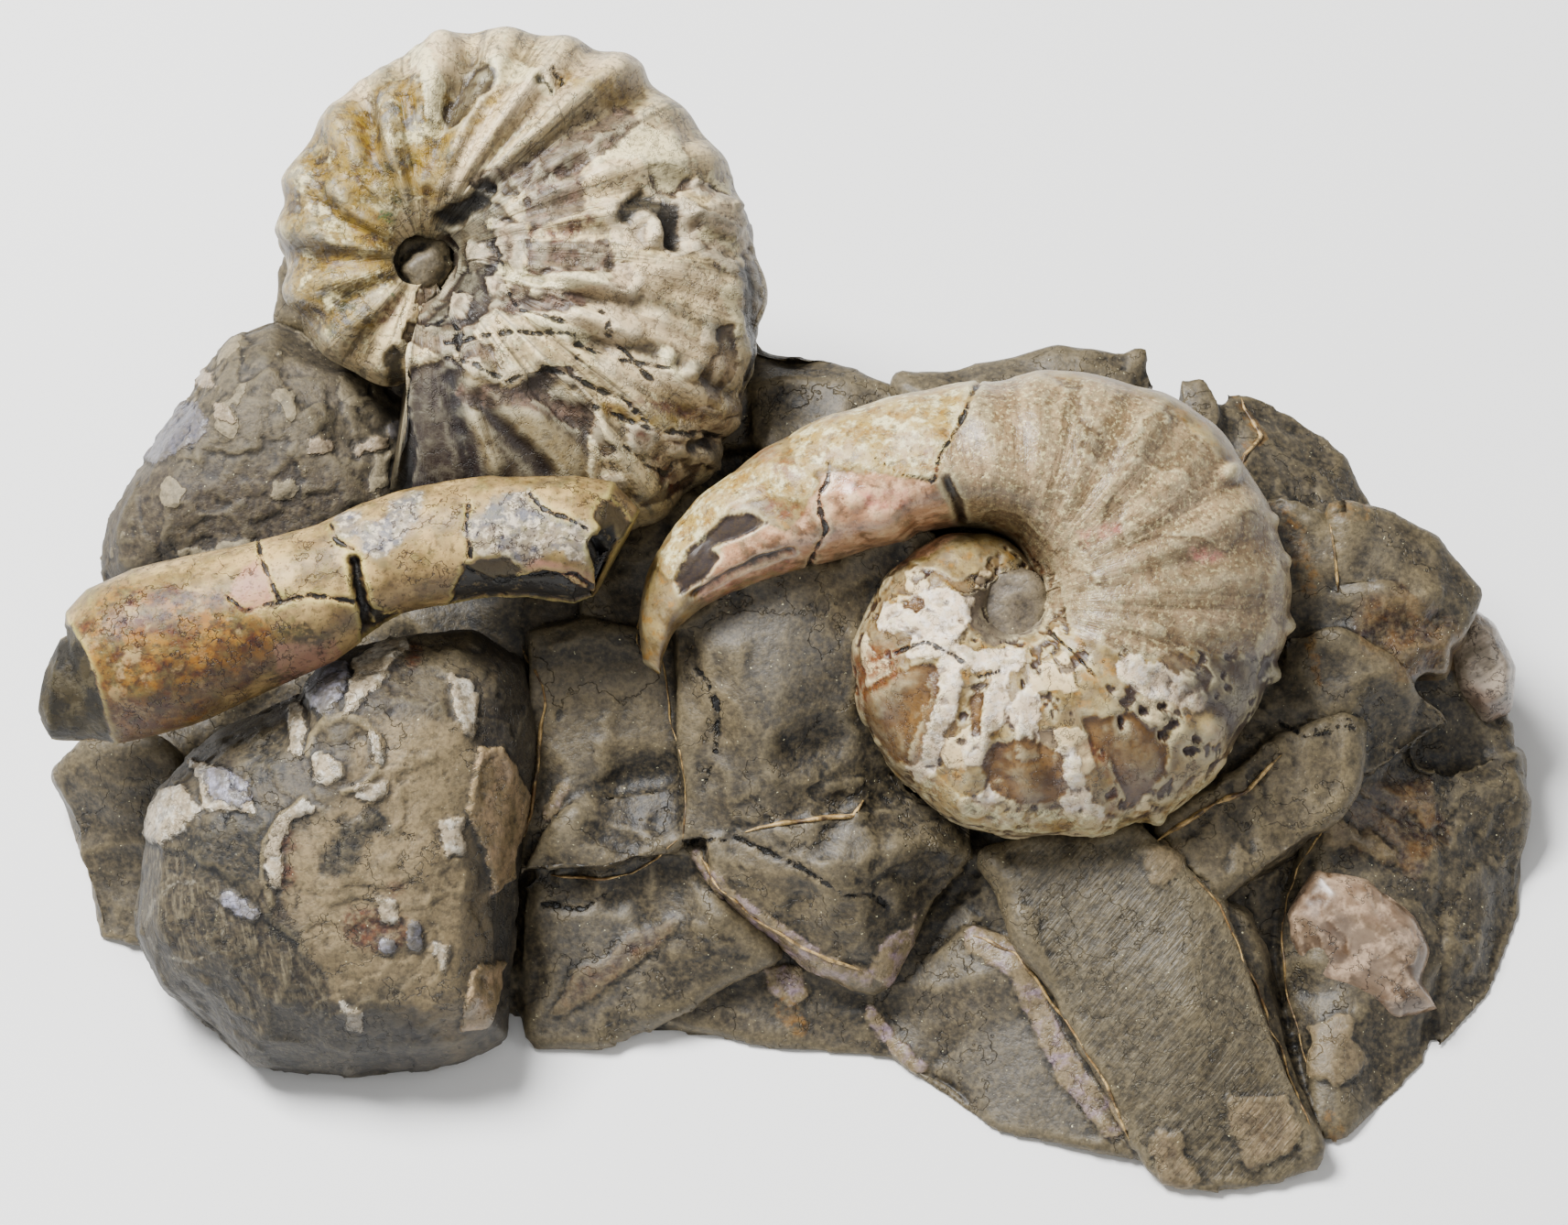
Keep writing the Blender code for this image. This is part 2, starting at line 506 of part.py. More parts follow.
def main():
    clear_scene()
    frame = face_frame()

    coil = [coil_station(*row) for row in MAIN_COIL]
    main_shell = mesh_object(
        "main_ammonite", swept_shell(coil + MAIN_HOOK, MAIN_RIBS, MAIN_RIB_HEIGHT), frame, CREAM_SHELL)
    place(main_shell, MAIN_UMBILICUS, MAIN_TILT)
    upper_rows = [coil_station(*row) for row in UPPER_COIL]
    upper_shell = mesh_object(
        "upper_ammonite", swept_shell(upper_rows, UPPER_RIBS, UPPER_RIB_HEIGHT), frame, GREY_SHELL)
    place(upper_shell, UPPER_UMBILICUS, UPPER_TILT)
    baculite = mesh_object("baculite", straight_shell(BACULITE_STATIONS), frame, HONEY_SHELL)
    worn = mesh_object("worn_ammonite", domed_form(WORN_OUTLINE, WORN_LEVELS), frame, BROWN_MOULD)
    rear = mesh_object("rear_mould", domed_form(REAR_OUTLINE, REAR_LEVELS), frame, BROWN_MOULD)
    nacre = mesh_object("nacre_shell", domed_form(NACRE_OUTLINE, NACRE_LEVELS), frame, PINK_NACRE)
    edge = mesh_object("edge_shell", domed_form(EDGE_OUTLINE, EDGE_LEVELS), frame, WHITE_NACRE)
    fossils = [main_shell, upper_shell, baculite, worn, rear, nacre, edge]
    pockets = {f.name: pocket_of(f) for f in fossils}

    ground = ground_cutter()
    combine(upper_shell, [pockets["baculite"]], "DIFFERENCE")
    combine(worn, [pockets["baculite"], ground], "DIFFERENCE")
    combine(rear, [pockets[n] for n in ("baculite", "upper_ammonite", "worn_ammonite")], "DIFFERENCE")

    matrix = mesh_object("matrix", rock_mass(frame, *ROCK_MASSES["body"]), frame, MUDSTONE)
    rear_mass = rock_mass(frame, *ROCK_MASSES["rear_mass"])
    blocks = [mesh_object("rear_mass", rear_mass, frame, MUDSTONE, helper=True)]
    for name, (depth, rim) in ROCK_BLOCKS.items():
        blocks.append(mesh_object(name, rock_block(rim, depth), frame, MUDSTONE, helper=True))
    combine(matrix, blocks, "UNION")
    combine(matrix, [*pockets.values(), ground], "DIFFERENCE")
    stand_on_origin(frame, [*fossils, matrix])


main()
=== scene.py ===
"""Visual model of a fossil cluster: two coiled ammonites, a straight shell and shell moulds in mudstone.

Sizes are millimetres in the construction's face frame: u runs to the right along the prepared face, v up its
slope and w out of it. Marks are placed on the face as the camera sees them.
"""

import logging
import math
from collections.abc import Callable, Sequence
from dataclasses import dataclass, field
from enum import Enum
from typing import ClassVar

import bmesh
import bpy
import numpy as np
from mathutils import Euler, Matrix, Vector
from mathutils.bvhtree import BVHTree


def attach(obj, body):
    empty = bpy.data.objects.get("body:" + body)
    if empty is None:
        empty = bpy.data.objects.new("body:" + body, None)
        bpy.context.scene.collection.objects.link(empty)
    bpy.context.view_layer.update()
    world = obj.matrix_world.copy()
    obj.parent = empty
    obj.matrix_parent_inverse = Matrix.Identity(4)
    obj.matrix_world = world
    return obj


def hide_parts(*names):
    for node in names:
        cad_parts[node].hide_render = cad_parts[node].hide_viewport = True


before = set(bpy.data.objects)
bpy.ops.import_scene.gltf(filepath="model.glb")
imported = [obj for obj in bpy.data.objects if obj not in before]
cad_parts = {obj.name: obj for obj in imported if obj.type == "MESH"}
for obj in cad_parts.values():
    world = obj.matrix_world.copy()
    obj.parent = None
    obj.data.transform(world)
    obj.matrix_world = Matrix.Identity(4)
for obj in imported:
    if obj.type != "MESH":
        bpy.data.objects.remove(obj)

Point = tuple[float, float]
log = logging.getLogger("fossil_cluster")

MM = 0.001
MARGIN = 3.0


class Face:
    """The prepared face's frame, and how the camera sees it."""

    ORIGIN = np.array((-0.8, -4.986, 34.5))
    SLOPE = math.radians(35.0)
    CAMERA_HEIGHT = 900.0
    FIELD_WIDTH = 171.3
    COS, SIN = math.cos(SLOPE), math.sin(SLOPE)
    TURN = np.array(((1, 0, 0), (0, COS, -SIN), (0, SIN, COS)))

    @classmethod
    def to_world(cls, points: np.ndarray) -> np.ndarray:
        """World places in metres of points in the face frame."""
        return (points @ cls.TURN.T + cls.ORIGIN) * MM

    @classmethod
    def from_world(cls, places: np.ndarray) -> np.ndarray:
        """Points in the face frame, in millimetres, of world places."""
        return (places / MM - cls.ORIGIN) @ cls.TURN

    @classmethod
    def seen(cls, points: np.ndarray) -> np.ndarray:
        """Where the camera sees points, as u and v on the face's plane."""
        nearness = cls.CAMERA_HEIGHT / (cls.CAMERA_HEIGHT - points[:, 2])
        return points[:, :2] * nearness[:, None]

    @classmethod
    def matrix(cls) -> Matrix:
        """The face frame as a matrix in metres."""
        return Matrix.Translation(Vector(cls.ORIGIN) * MM) @ Matrix.Rotation(cls.SLOPE, 4, "X")


class Noise:
    """Smooth seeded noise for relief, the same in each run."""

    @staticmethod
    def _mixed(cells: np.ndarray, seed: int) -> np.ndarray:
        """A number from 0 to 1 for each whole-numbered cell."""
        c = cells.astype(np.int64).astype(np.uint32)
        h = c[:, 0] * np.uint32(374761393) + c[:, 1] * np.uint32(668265263) + c[:, 2] * np.uint32(2246822519)
        h = h + np.uint32((seed * 3266489917) % 2**32)
        h = (h ^ (h >> np.uint32(13))) * np.uint32(1274126177)
        h = (h ^ (h >> np.uint32(16))) * np.uint32(2654435761)
        return ((h ^ (h >> np.uint32(15))) / 2**32).astype(float)

    @classmethod
    def soft(cls, points: np.ndarray, size: float, seed: int = 0) -> np.ndarray:
        """Noise from -1 to 1 whose bumps are about size millimetres apart.

        Args:
            points: places in millimetres.
            size: distance between bumps.
            seed: picks another pattern.

        Returns:
            One value for each point.
        """
        p = points / size
        low = np.floor(p)
        f = p - low
        f = f * f * (3 - 2 * f)
        total = np.zeros(len(points))
        for corner in range(8):
            step = np.array((corner & 1, corner >> 1 & 1, corner >> 2 & 1))
            weight = np.prod(np.where(step, f, 1 - f), axis=1)
            total += weight * cls._mixed(low + step, seed)
        return total * 2 - 1

    @classmethod
    def rough(cls, points: np.ndarray, size: float, seed: int = 0, octaves: int = 3) -> np.ndarray:
        """Soft noise with finer noise on it, from about -1 to 1."""
        total = np.zeros(len(points))
        for octave in range(octaves):
            total += cls.soft(points, size / 2**octave, seed + 17 * octave) / 2**octave
        return total / 1.4

    @classmethod
    def ridged(cls, points: np.ndarray, size: float, seed: int = 0) -> np.ndarray:
        """Smooth hollows that meet in sharp ridges, as where stone has chipped, from about -0.5 to 0.35."""
        return 0.35 - np.abs(cls.soft(points, size, seed) + 0.25 * cls.soft(points, size / 2.3, seed + 3))

    @classmethod
    def terraces(cls, points: np.ndarray, size: float, step: float, seed: int = 0) -> np.ndarray:
        """Flat treads with sharp ragged steps between them, as where a stone has split, in millimetres.

        Args:
            points: places in millimetres.
            size: width of a tread.
            step: height of a step.
            seed: picks another pattern.

        Returns:
            One height for each point.
        """
        level = 2.4 * cls.rough(points, size, seed, 4)
        tread = np.floor(level)
        return step * (tread + smooth(level - tread, 0.86, 1.0) + 0.25 * (level - tread))

    @classmethod
    def warped(cls, points: np.ndarray, size: float, reach: float, seed: int = 0) -> np.ndarray:
        """The points moved about by up to reach, so that patterns made from them bend."""
        return points + reach * np.stack([cls.rough(points, size, seed + k, 2) for k in range(3)], axis=1)


def smooth(values: np.ndarray, low: float, high: float) -> np.ndarray:
    """Rises smoothly from 0 at low to 1 at high."""
    t = np.clip((values - low) / (high - low), 0, 1)
    return t * t * (3 - 2 * t)


def walked(path: np.ndarray) -> np.ndarray:
    """The distance from a path's start at each of its points."""
    return np.concatenate(((0.0,), np.cumsum(np.linalg.norm(np.diff(path, axis=0), axis=1))))


def face_points(mesh: bpy.types.Mesh) -> np.ndarray:
    """A mesh's points in the face frame."""
    flat = np.empty(len(mesh.vertices) * 3)
    mesh.vertices.foreach_get("co", flat)
    return Face.from_world(flat.reshape(-1, 3))


@dataclass(frozen=True)
class Stroke:
    """A line with a radius on the face, or a filled patch where the radius is None."""

    points: tuple[Point, ...]
    radius: float | None = None

    def inside(self, seen: np.ndarray) -> np.ndarray:
        """How far inside the stroke each seen point lies, in millimetres, negative outside."""
        ends = np.array(self.points, dtype=float)
        reach = MARGIN + (self.radius or 0)
        near = np.all((seen > ends.min(0) - reach) & (seen < ends.max(0) + reach), axis=1)
        depth = np.full(len(seen), -MARGIN)
        spots = seen[near]
        filled = self.radius is None
        stops = np.roll(ends, -1, axis=0) if filled else (ends[1:] if len(ends) > 1 else ends)
        away = np.full(len(spots), np.inf)
        within = np.zeros(len(spots), dtype=bool)
        for a, b in zip(ends, stops):
            span = b - a
            t = np.clip((spots - a) @ span / max(span @ span, 1e-9), 0, 1)
            away = np.minimum(away, np.linalg.norm(spots - a - t[:, None] * span, axis=1))
            if filled:
                straddles = (a[1] > spots[:, 1]) != (b[1] > spots[:, 1])
                at = a[0] + (spots[:, 1] - a[1]) * span[0] / (span[1] or 1e-9)
                within ^= straddles & (spots[:, 0] < at)
        signed = np.where(within, away, -away) if filled else self.radius - away
        depth[near] = np.clip(signed, -MARGIN, MARGIN)
        return depth


def line(radius: float, *run: float) -> Stroke:
    """A stroke of this radius through the points whose u and v the run gives in turn."""
    return Stroke(tuple(zip(run[::2], run[1::2])), radius)


def patch(*run: float) -> Stroke:
    """A filled patch whose outline the run gives, u and v in turn."""
    return Stroke(tuple(zip(run[::2], run[1::2])))


@dataclass(frozen=True)
class Mark:
    """A pattern drawn on a piece, which its material reads by name.

    Its edge wanders by ragged over lengths of ragged_size, and it stands out of the surface by lift, over a
    step of this width at its edge.
    """

    name: str
    strokes: tuple[Stroke, ...]
    ragged: float = 0.6
    ragged_size: float = 2.0
    lift: float = 0.0
    step: float = 0.5


@dataclass(frozen=True)
class Bump:
    """A rounded bump or, with a negative height, a pit."""

    at: Point
    radius: float
    height: float


@dataclass(frozen=True)
class Flaking:
    """Ragged patches where a layer is missing or left on, which the material reads by name.

    where names the mark that it keeps to and, after a minus, one that it leaves out. Either may be empty.
    share is the part of the surface that it takes.
    """

    name: str
    size: float
    share: float
    lift: float
    where: str = ""
    step: float = 0.25


class Skin:
    """A piece's points in the face frame, for giving it relief and the patterns that its material reads."""

    # Marks fade out over surfaces that face further from the camera than this
    EDGE_ON = -0.15
    FADE = 6.0
    # Painted light on what faces up and to the left, where the key light comes from, and painted shade on the
    # other side
    PAINTED_LIGHT_FROM = np.array((-0.33, 0.46, 0.82))
    # The relief fades out below this height, in millimetres, so the foot stays flat
    FOOT_HEIGHT = 1.5

    def __init__(self, piece: bpy.types.Object) -> None:
        """Reads the piece's mesh."""
        self.mesh = piece.data
        self.points = face_points(self.mesh)
        self.normals = self._facing()
        self.seen = Face.seen(self.points)
        self.heights = np.zeros(len(self.points))

    def _facing(self) -> np.ndarray:
        """The mesh's normals, turned into the face frame."""
        flat = np.empty(len(self.points) * 3, dtype=np.float32)
        self.mesh.vertex_normals.foreach_get("vector", flat)
        return flat.reshape(-1, 3).astype(float) @ Face.TURN

    def read(self, name: str) -> np.ndarray:
        """The values of one of the mesh's attributes."""
        values = np.empty(len(self.points), dtype=np.float32)
        self.mesh.attributes[name].data.foreach_get("value", values)
        return values.astype(float)

    def paint(self, name: str, values: np.ndarray) -> None:
        """Writes values as an attribute for the material."""
        layer = self.mesh.attributes.get(name) or self.mesh.attributes.new(name, "FLOAT", "POINT")
        layer.data.foreach_set("value", values.astype(np.float32))

    def draw(self, mark: Mark) -> None:
        """Paints a mark, and adds its lift to the heights."""
        depth = np.full(len(self.points), -MARGIN)
        for stroke in mark.strokes:
            depth = np.maximum(depth, stroke.inside(self.seen))
        # Each mark was read off the face, so it doesn't run through to the back
        depth = np.minimum(depth, self.FADE * (self.normals[:, 2] - self.EDGE_ON))
        seed = sum(mark.name.encode())
        near = depth > -MARGIN
        depth[near] += mark.ragged * Noise.rough(self.points[near], mark.ragged_size, seed, 4)
        self.paint(mark.name, depth)
        if mark.lift:
            self.heights += mark.lift * smooth(depth, -mark.step / 2, mark.step / 2)

    def flake(self, flaking: Flaking) -> None:
        """Paints a flaking, and adds its lift to the heights."""
        seed = sum(flaking.name.encode())
        bent = Noise.warped(self.points, flaking.size, 0.25 * flaking.size, seed)
        depth = flaking.size * (Noise.rough(bent, flaking.size, seed + 5, 3) + 0.9 * (flaking.share - 0.5))
        kept, _, left = flaking.where.partition("-")
        if kept:
            depth = np.minimum(depth, self.read(kept))
        if left:
            depth = np.minimum(depth, -self.read(left))
        self.paint(flaking.name, depth)
        self.heights += flaking.lift * smooth(depth, -flaking.step / 2, flaking.step / 2)

    def bump(self, bump: Bump) -> None:
        """Adds a bump to the heights."""
        away = np.linalg.norm(self.seen - np.array(bump.at), axis=1)
        self.heights += bump.height * smooth(-away, -bump.radius, -0.15 * bump.radius)

    def flatten_foot(self) -> None:
        """Takes the relief off where the piece stands on the ground."""
        self.heights *= smooth(Face.to_world(self.points)[:, 2] / MM, 0.0, self.FOOT_HEIGHT)

    def push(self) -> None:
        """Moves each point along its normal by its height, and paints where hollows and ridges are and which
        faces get painted light and painted shade.
        """
        self.points = self.points + self.normals * self.heights[:, None]
        self.mesh.vertices.foreach_set("co", Face.to_world(self.points).ravel())
        self.mesh.update()
        self.normals = self._facing()
        fine, broad = self._sunk((3, 14))
        # The finishes paint shade into the hollows
        self.paint("hollows", np.maximum(12 * (fine - 0.05), 4 * (broad - 0.3)))
        self.paint("ridges", np.maximum(12 * (-fine - 0.05), 4 * (-broad - 0.3)))
        # Painted light on faces turned up and to the left, painted shade on faces turned away from there
        faced = self.normals @ self.PAINTED_LIGHT_FROM
        self.paint("dust", 8 * (faced - 0.88))
        self.paint("shade", 8 * (0.62 - faced))

    def _sunk(self, rounds: tuple[int, ...]) -> list[np.ndarray]:
        """How deep each point lies under the mean of its surroundings, in millimetres.

        Args:
            rounds: how many times the surroundings are widened, for each result.

        Returns:
            One array for each number of rounds.
        """
        pairs = np.empty(len(self.mesh.edges) * 2, dtype=np.int32)
        self.mesh.edges.foreach_get("vertices", pairs)
        a, b = pairs.reshape(-1, 2).T
        total = len(self.points)
        links = np.maximum(np.bincount(pairs, minlength=total), 1)
        around = self.points.copy()
        found = []
        for step in range(1, max(rounds) + 1):
            for axis in range(3):
                column = around[:, axis]
                near = np.bincount(a, column[b], total) + np.bincount(b, column[a], total)
                around[:, axis] = near / links
            if step in rounds:
                found.append(((around - self.points) * self.normals).sum(axis=1))
        return found


def finished(name: str, bm: bmesh.types.BMesh, shade_smooth: bool = True) -> bpy.types.Object:
    """Turns a bmesh into an object in the scene, with its place in its mesh."""
    bmesh.ops.recalc_face_normals(bm, faces=bm.faces)
    mesh = bpy.data.meshes.new(name)
    bm.to_mesh(mesh)
    bm.free()
    mesh.polygons.foreach_set("use_smooth", [shade_smooth] * len(mesh.polygons))
    piece = bpy.data.objects.new(name, mesh)
    bpy.context.scene.collection.objects.link(piece)
    return piece


def settled(piece: bpy.types.Object) -> bpy.types.Object:
    """Applies the piece's modifiers to its mesh."""
    graph = bpy.context.evaluated_depsgraph_get()
    old = piece.data
    piece.data = bpy.data.meshes.new_from_object(piece.evaluated_get(graph))
    piece.modifiers.clear()
    bpy.data.meshes.remove(old)
    piece.data.name = piece.name
    piece.data.polygons.foreach_set("use_smooth", [True] * len(piece.data.polygons))
    return piece


def cut_at_ground(bm: bmesh.types.BMesh) -> None:
    """Cuts off what lies below the ground, and closes the cut."""
    everything = [*bm.verts, *bm.edges, *bm.faces]
    bmesh.ops.bisect_plane(bm, geom=everything, plane_co=(0, 0, 0), plane_no=(0, 0, -1), clear_outer=True)
    bmesh.ops.holes_fill(bm, edges=[e for e in bm.edges if e.is_boundary], sides=0)


def remeshed(piece: bpy.types.Object, voxel: float, rounding: int) -> bpy.types.Object:
    """Gives a piece an even fine mesh with slightly rounded edges.

    Args:
        piece: a closed solid, or several that overlap.
        voxel: the new mesh's spacing in millimetres.
        rounding: how many times its points are smoothed.

    Returns:
        The same piece.
    """
    even = piece.modifiers.new("even mesh", "REMESH")
    even.mode = "VOXEL"
    even.voxel_size = voxel * MM
    soften = piece.modifiers.new("rounded edges", "SMOOTH")
    soften.factor = 0.5
    soften.iterations = rounding
    return settled(piece)


def bent_grid(
    name: str, along_steps: int, around_steps: int, bend: Callable[[np.ndarray, np.ndarray], np.ndarray]
) -> bpy.types.Object:
    """A grid bent into a closed tube, which keeps its place along and around as attributes.

    Args:
        name: the piece's name.
        along_steps: faces along the tube.
        around_steps: faces around it.
        bend: gives face points for places from 0 to 1 along and around.

    Returns:
        The finished piece.
    """
    bm = bmesh.new()
    bmesh.ops.create_grid(bm, x_segments=along_steps, y_segments=around_steps, size=0.5)
    along, around = (bm.verts.layers.float.new(n) for n in ("along", "around"))
    flat = np.array([(v.co.x, v.co.y) for v in bm.verts]) + 0.5
    for vert, spot, place in zip(bm.verts, flat, Face.to_world(bend(flat[:, 0], flat[:, 1]))):
        vert[along], vert[around] = spot
        vert.co = place
    bmesh.ops.remove_doubles(bm, verts=bm.verts, dist=1e-7)
    bmesh.ops.holes_fill(bm, edges=[e for e in bm.edges if e.is_boundary], sides=0)
    return finished(name, bm)


def node(
    tree: bpy.types.NodeTree, kind: str, inputs: dict | None = None, **settings: object
) -> bpy.types.Node:
    """Adds a node with its settings, and with links or values on its inputs."""
    made = tree.nodes.new(kind)
    for name, value in settings.items():
        setattr(made, name, value)
    for key, value in (inputs or {}).items():
        if isinstance(value, bpy.types.NodeSocket):
            tree.links.new(value, made.inputs[key])
        else:
            made.inputs[key].default_value = value
    return made


def linear(hex_colour: str) -> tuple[float, float, float, float]:
    """An sRGB hex colour as linear red, green, blue and full alpha."""
    parts = [int(hex_colour[i : i + 2], 16) / 255 for i in (1, 3, 5)]
    red, green, blue = (c / 12.92 if c <= 0.04045 else ((c + 0.055) / 1.055) ** 2.4 for c in parts)
    return (red, green, blue, 1.0)


class Spread(Enum):
    """How a coat lies over the ones below it."""

    EVEN = "all over"
    CLOUDS = "soft stains"
    STREAKS = "streaks across the face"
    GROWTH = "lines across a shell's course"
    VEINS = "thin crooked lines"


@dataclass(frozen=True)
class Coat:
    """One coat of a material, over those below it.

    over names the mark that it fills, and is empty for a coat that lies anywhere. size is that of its clouds
    or streaks in millimetres, cover the share of the surface that it takes, and soft how gently its
    edges fade. lift raises it, and angle turns its streaks from u towards v.
    """

    colour: str
    over: str = ""
    spread: Spread = Spread.EVEN
    size: float = 2.0
    cover: float = 0.5
    soft: float = 0.15
    strength: float = 1.0
    roughness: float | None = None
    lift: float = 0.0
    angle: float = 0.0
    edge: float = 0.25


def stain(colour: str, over: str, strength: float, edge: float = 0.25, **more: float) -> Coat:
    """An even coat over one mark.

    Args:
        colour: its colour.
        over: the mark that it fills.
        strength: how much it hides.
        edge: how gently it fades at the mark's edge, in millimetres.
        more: the coat's other fields.

    Returns:
        The coat.
    """
    return Coat(colour, over, strength=strength, edge=edge, **more)


def clouds(
    colour: str, size: float, cover: float, soft: float, strength: float, over: str = "", **more: object
) -> Coat:
    """A coat of soft stains.

    Args:
        colour: the stains' colour.
        size: their width in millimetres.
        cover: the share of the surface that they take.
        soft: how gently their edges fade.
        strength: how much they hide.
        over: the mark that they keep to.
        more: the coat's other fields.

    Returns:
        The coat.
    """
    more.setdefault("spread", Spread.CLOUDS)
    return Coat(colour, over, size=size, cover=cover, soft=soft, strength=strength, **more)


@dataclass(frozen=True)
class Finish:
    """A material of fossil or rock, built up from coats."""

    # The noise that frays the marks' edges: its width and how far it carries an edge, in millimetres
    FRAY_SIZE: ClassVar[float] = 1.1
    FRAY_REACH: ClassVar[float] = 1.45
    # A cloud's noise: how much weaker each finer octave is, the finest that the render can show in
    # millimetres, the most octaves, and how far its level moves between no cover and full cover
    CLOUD_ROUGHNESS: ClassVar[float] = 0.62
    CLOUD_FINEST: ClassVar[float] = 0.14
    CLOUD_DETAIL: ClassVar[int] = 5
    CLOUD_SPAN: ClassVar[float] = 0.36
    # How far each coat's noise is moved from that of the coat below it, in millimetres
    SHIFT: ClassVar[Point] = (7.3, 3.1)
    # A growth line is this much longer than it is wide
    GROWTH_STRETCH: ClassVar[tuple[float, float, float]] = (1, 0.09, 1)
    STREAK_STRETCH: ClassVar[tuple[float, float, float]] = (9, 1, 1)

    name: str
    base: str
    roughness: float
    coats: tuple[Coat, ...] = ()
    polish: float = 0.0
    shine: float = 0.5

    def build(self) -> bpy.types.Material:
        """Builds the material's nodes."""
        made = bpy.data.materials.new(self.name)
        made.use_nodes = True
        tree = made.node_tree
        tree.nodes.clear()
        place = node(tree, "ShaderNodeTexCoord").outputs["Object"]
        # Object coordinates become millimetres in the face frame
        to_face = {0: place, "Rotation": (-Face.SLOPE, 0, 0), "Scale": (1 / MM, 1 / MM, 1 / MM)}
        spot = node(tree, "ShaderNodeMapping", to_face).outputs[0]
        # One noise frays the edges of all the marks, because each more of them costs render time
        noise = {"Vector": spot, "Scale": 1 / self.FRAY_SIZE, "Detail": 3.0, "Roughness": 0.65}
        fray = node(tree, "ShaderNodeTexNoise", noise).outputs["Fac"]
        colour = node(tree, "ShaderNodeRGB").outputs[0]
        colour.default_value = linear(self.base)
        rough: bpy.types.NodeSocket | None = None
        height: bpy.types.NodeSocket | None = None
        for number, coat in enumerate(self.coats):
            mask = self._mask(tree, spot, fray, coat, number)
            layers = {0: mask, 6: colour, 7: linear(coat.colour)}
            colour = node(tree, "ShaderNodeMix", layers, data_type="RGBA").outputs[2]
            if coat.roughness is not None:
                layers = {0: mask, 2: self.roughness if rough is None else rough, 3: coat.roughness}
                rough = node(tree, "ShaderNodeMix", layers).outputs[0]
            if coat.lift:
                lifted = {0: mask, 1: coat.lift, 2: 0.0 if height is None else height}
                height = node(tree, "ShaderNodeMath", lifted, operation="MULTIPLY_ADD").outputs[0]
        shader = node(tree, "ShaderNodeBsdfPrincipled", {"Base Color": colour, "Roughness": self.roughness})
        shader.inputs["IOR"].default_value = 1.5
        shader.inputs["Specular IOR Level"].default_value = self.shine
        shader.inputs["Coat Weight"].default_value = self.polish
        shader.inputs["Coat Roughness"].default_value = 0.25
        if rough is not None:
            tree.links.new(rough, shader.inputs["Roughness"])
        if height is not None:
            relief = node(tree, "ShaderNodeBump", {"Height": height, "Distance": MM, "Strength": 1.0})
            tree.links.new(relief.outputs[0], shader.inputs["Normal"])
        node(tree, "ShaderNodeOutputMaterial", {"Surface": shader.outputs[0]})
        made.diffuse_color = linear(self.base)
        return made

    def _mask(
        self,
        tree: bpy.types.NodeTree,
        spot: bpy.types.NodeSocket,
        fray: bpy.types.NodeSocket,
        coat: Coat,
        number: int,
    ) -> bpy.types.NodeSocket:
        """The nodes that say where a coat lies, from 0 to its strength."""
        parts: list[bpy.types.NodeSocket] = []
        if coat.over:
            depth = node(tree, "ShaderNodeAttribute", attribute_name=coat.over).outputs["Fac"]
            frayed = {0: fray, 1: self.FRAY_REACH, 2: depth}
            depth = node(tree, "ShaderNodeMath", frayed, operation="MULTIPLY_ADD").outputs[0]
            middle = self.FRAY_REACH / 2
            span = {0: depth, 1: middle - coat.edge, 2: middle + coat.edge}
            parts.append(node(tree, "ShaderNodeMapRange", span, interpolation_type="SMOOTHSTEP").outputs[0])
        if coat.spread is not Spread.EVEN:
            parts.append(self._clouded(tree, spot, coat, number))
        mask: bpy.types.NodeSocket | float = coat.strength
        for part in parts:
            mask = node(tree, "ShaderNodeMath", {0: part, 1: mask}, operation="MULTIPLY").outputs[0]
        return mask

    def _clouded(
        self, tree: bpy.types.NodeTree, spot: bpy.types.NodeSocket, coat: Coat, number: int
    ) -> bpy.types.NodeSocket:
        """The nodes that scatter a coat as clouds, streaks, growth lines or veins."""
        shift = {0: spot, "Location": (self.SHIFT[0] * number, self.SHIFT[1] * number, 0)}
        moved = node(tree, "ShaderNodeMapping", shift, vector_type="POINT").outputs[0]
        if coat.spread is Spread.STREAKS:
            turned = {0: moved, "Rotation": (0, 0, math.radians(coat.angle)), "Scale": self.STREAK_STRETCH}
            moved = node(tree, "ShaderNodeMapping", turned, vector_type="TEXTURE").outputs[0]
        if coat.spread is Spread.GROWTH:
            course = node(tree, "ShaderNodeAttribute", attribute_name="course").outputs["Fac"]
            girth = node(tree, "ShaderNodeAttribute", attribute_name="girth").outputs["Fac"]
            moved = node(tree, "ShaderNodeCombineXYZ", {0: course, 1: girth, 2: float(number)}).outputs[0]
            drawn_out = {0: moved, "Scale": self.GROWTH_STRETCH}
            moved = node(tree, "ShaderNodeMapping", drawn_out, vector_type="POINT").outputs[0]
        # Octaves too fine to show are left out, and the levels follow the noise's new spread
        detail = min(self.CLOUD_DETAIL, max(2, round(math.log2(coat.size / self.CLOUD_FINEST))))
        noise = {
            "Vector": moved,
            "Scale": 1 / coat.size,
            "Detail": float(detail),
            "Roughness": self.CLOUD_ROUGHNESS,
        }
        cloud = node(tree, "ShaderNodeTexNoise", noise).outputs["Fac"]
        gain = self._spread(detail) / self._spread(self.CLOUD_DETAIL)
        low = 0.5 + gain * (self.CLOUD_SPAN * (0.5 - coat.cover) - coat.soft / 2)
        span = {1: low, 2: low + gain * coat.soft}
        if coat.spread is Spread.VEINS:
            # A vein runs where the cloud crosses its middle value, and soft is its width there
            cloud = node(tree, "ShaderNodeMath", {0: cloud, 1: 0.5}, operation="SUBTRACT").outputs[0]
            cloud = node(tree, "ShaderNodeMath", {0: cloud}, operation="ABSOLUTE").outputs[0]
            span = {1: 0.0, 2: gain * coat.soft, 3: 1.0, 4: 0.0}
        levels = {0: cloud, **span}
        return node(tree, "ShaderNodeMapRange", levels, interpolation_type="SMOOTHSTEP").outputs[0]

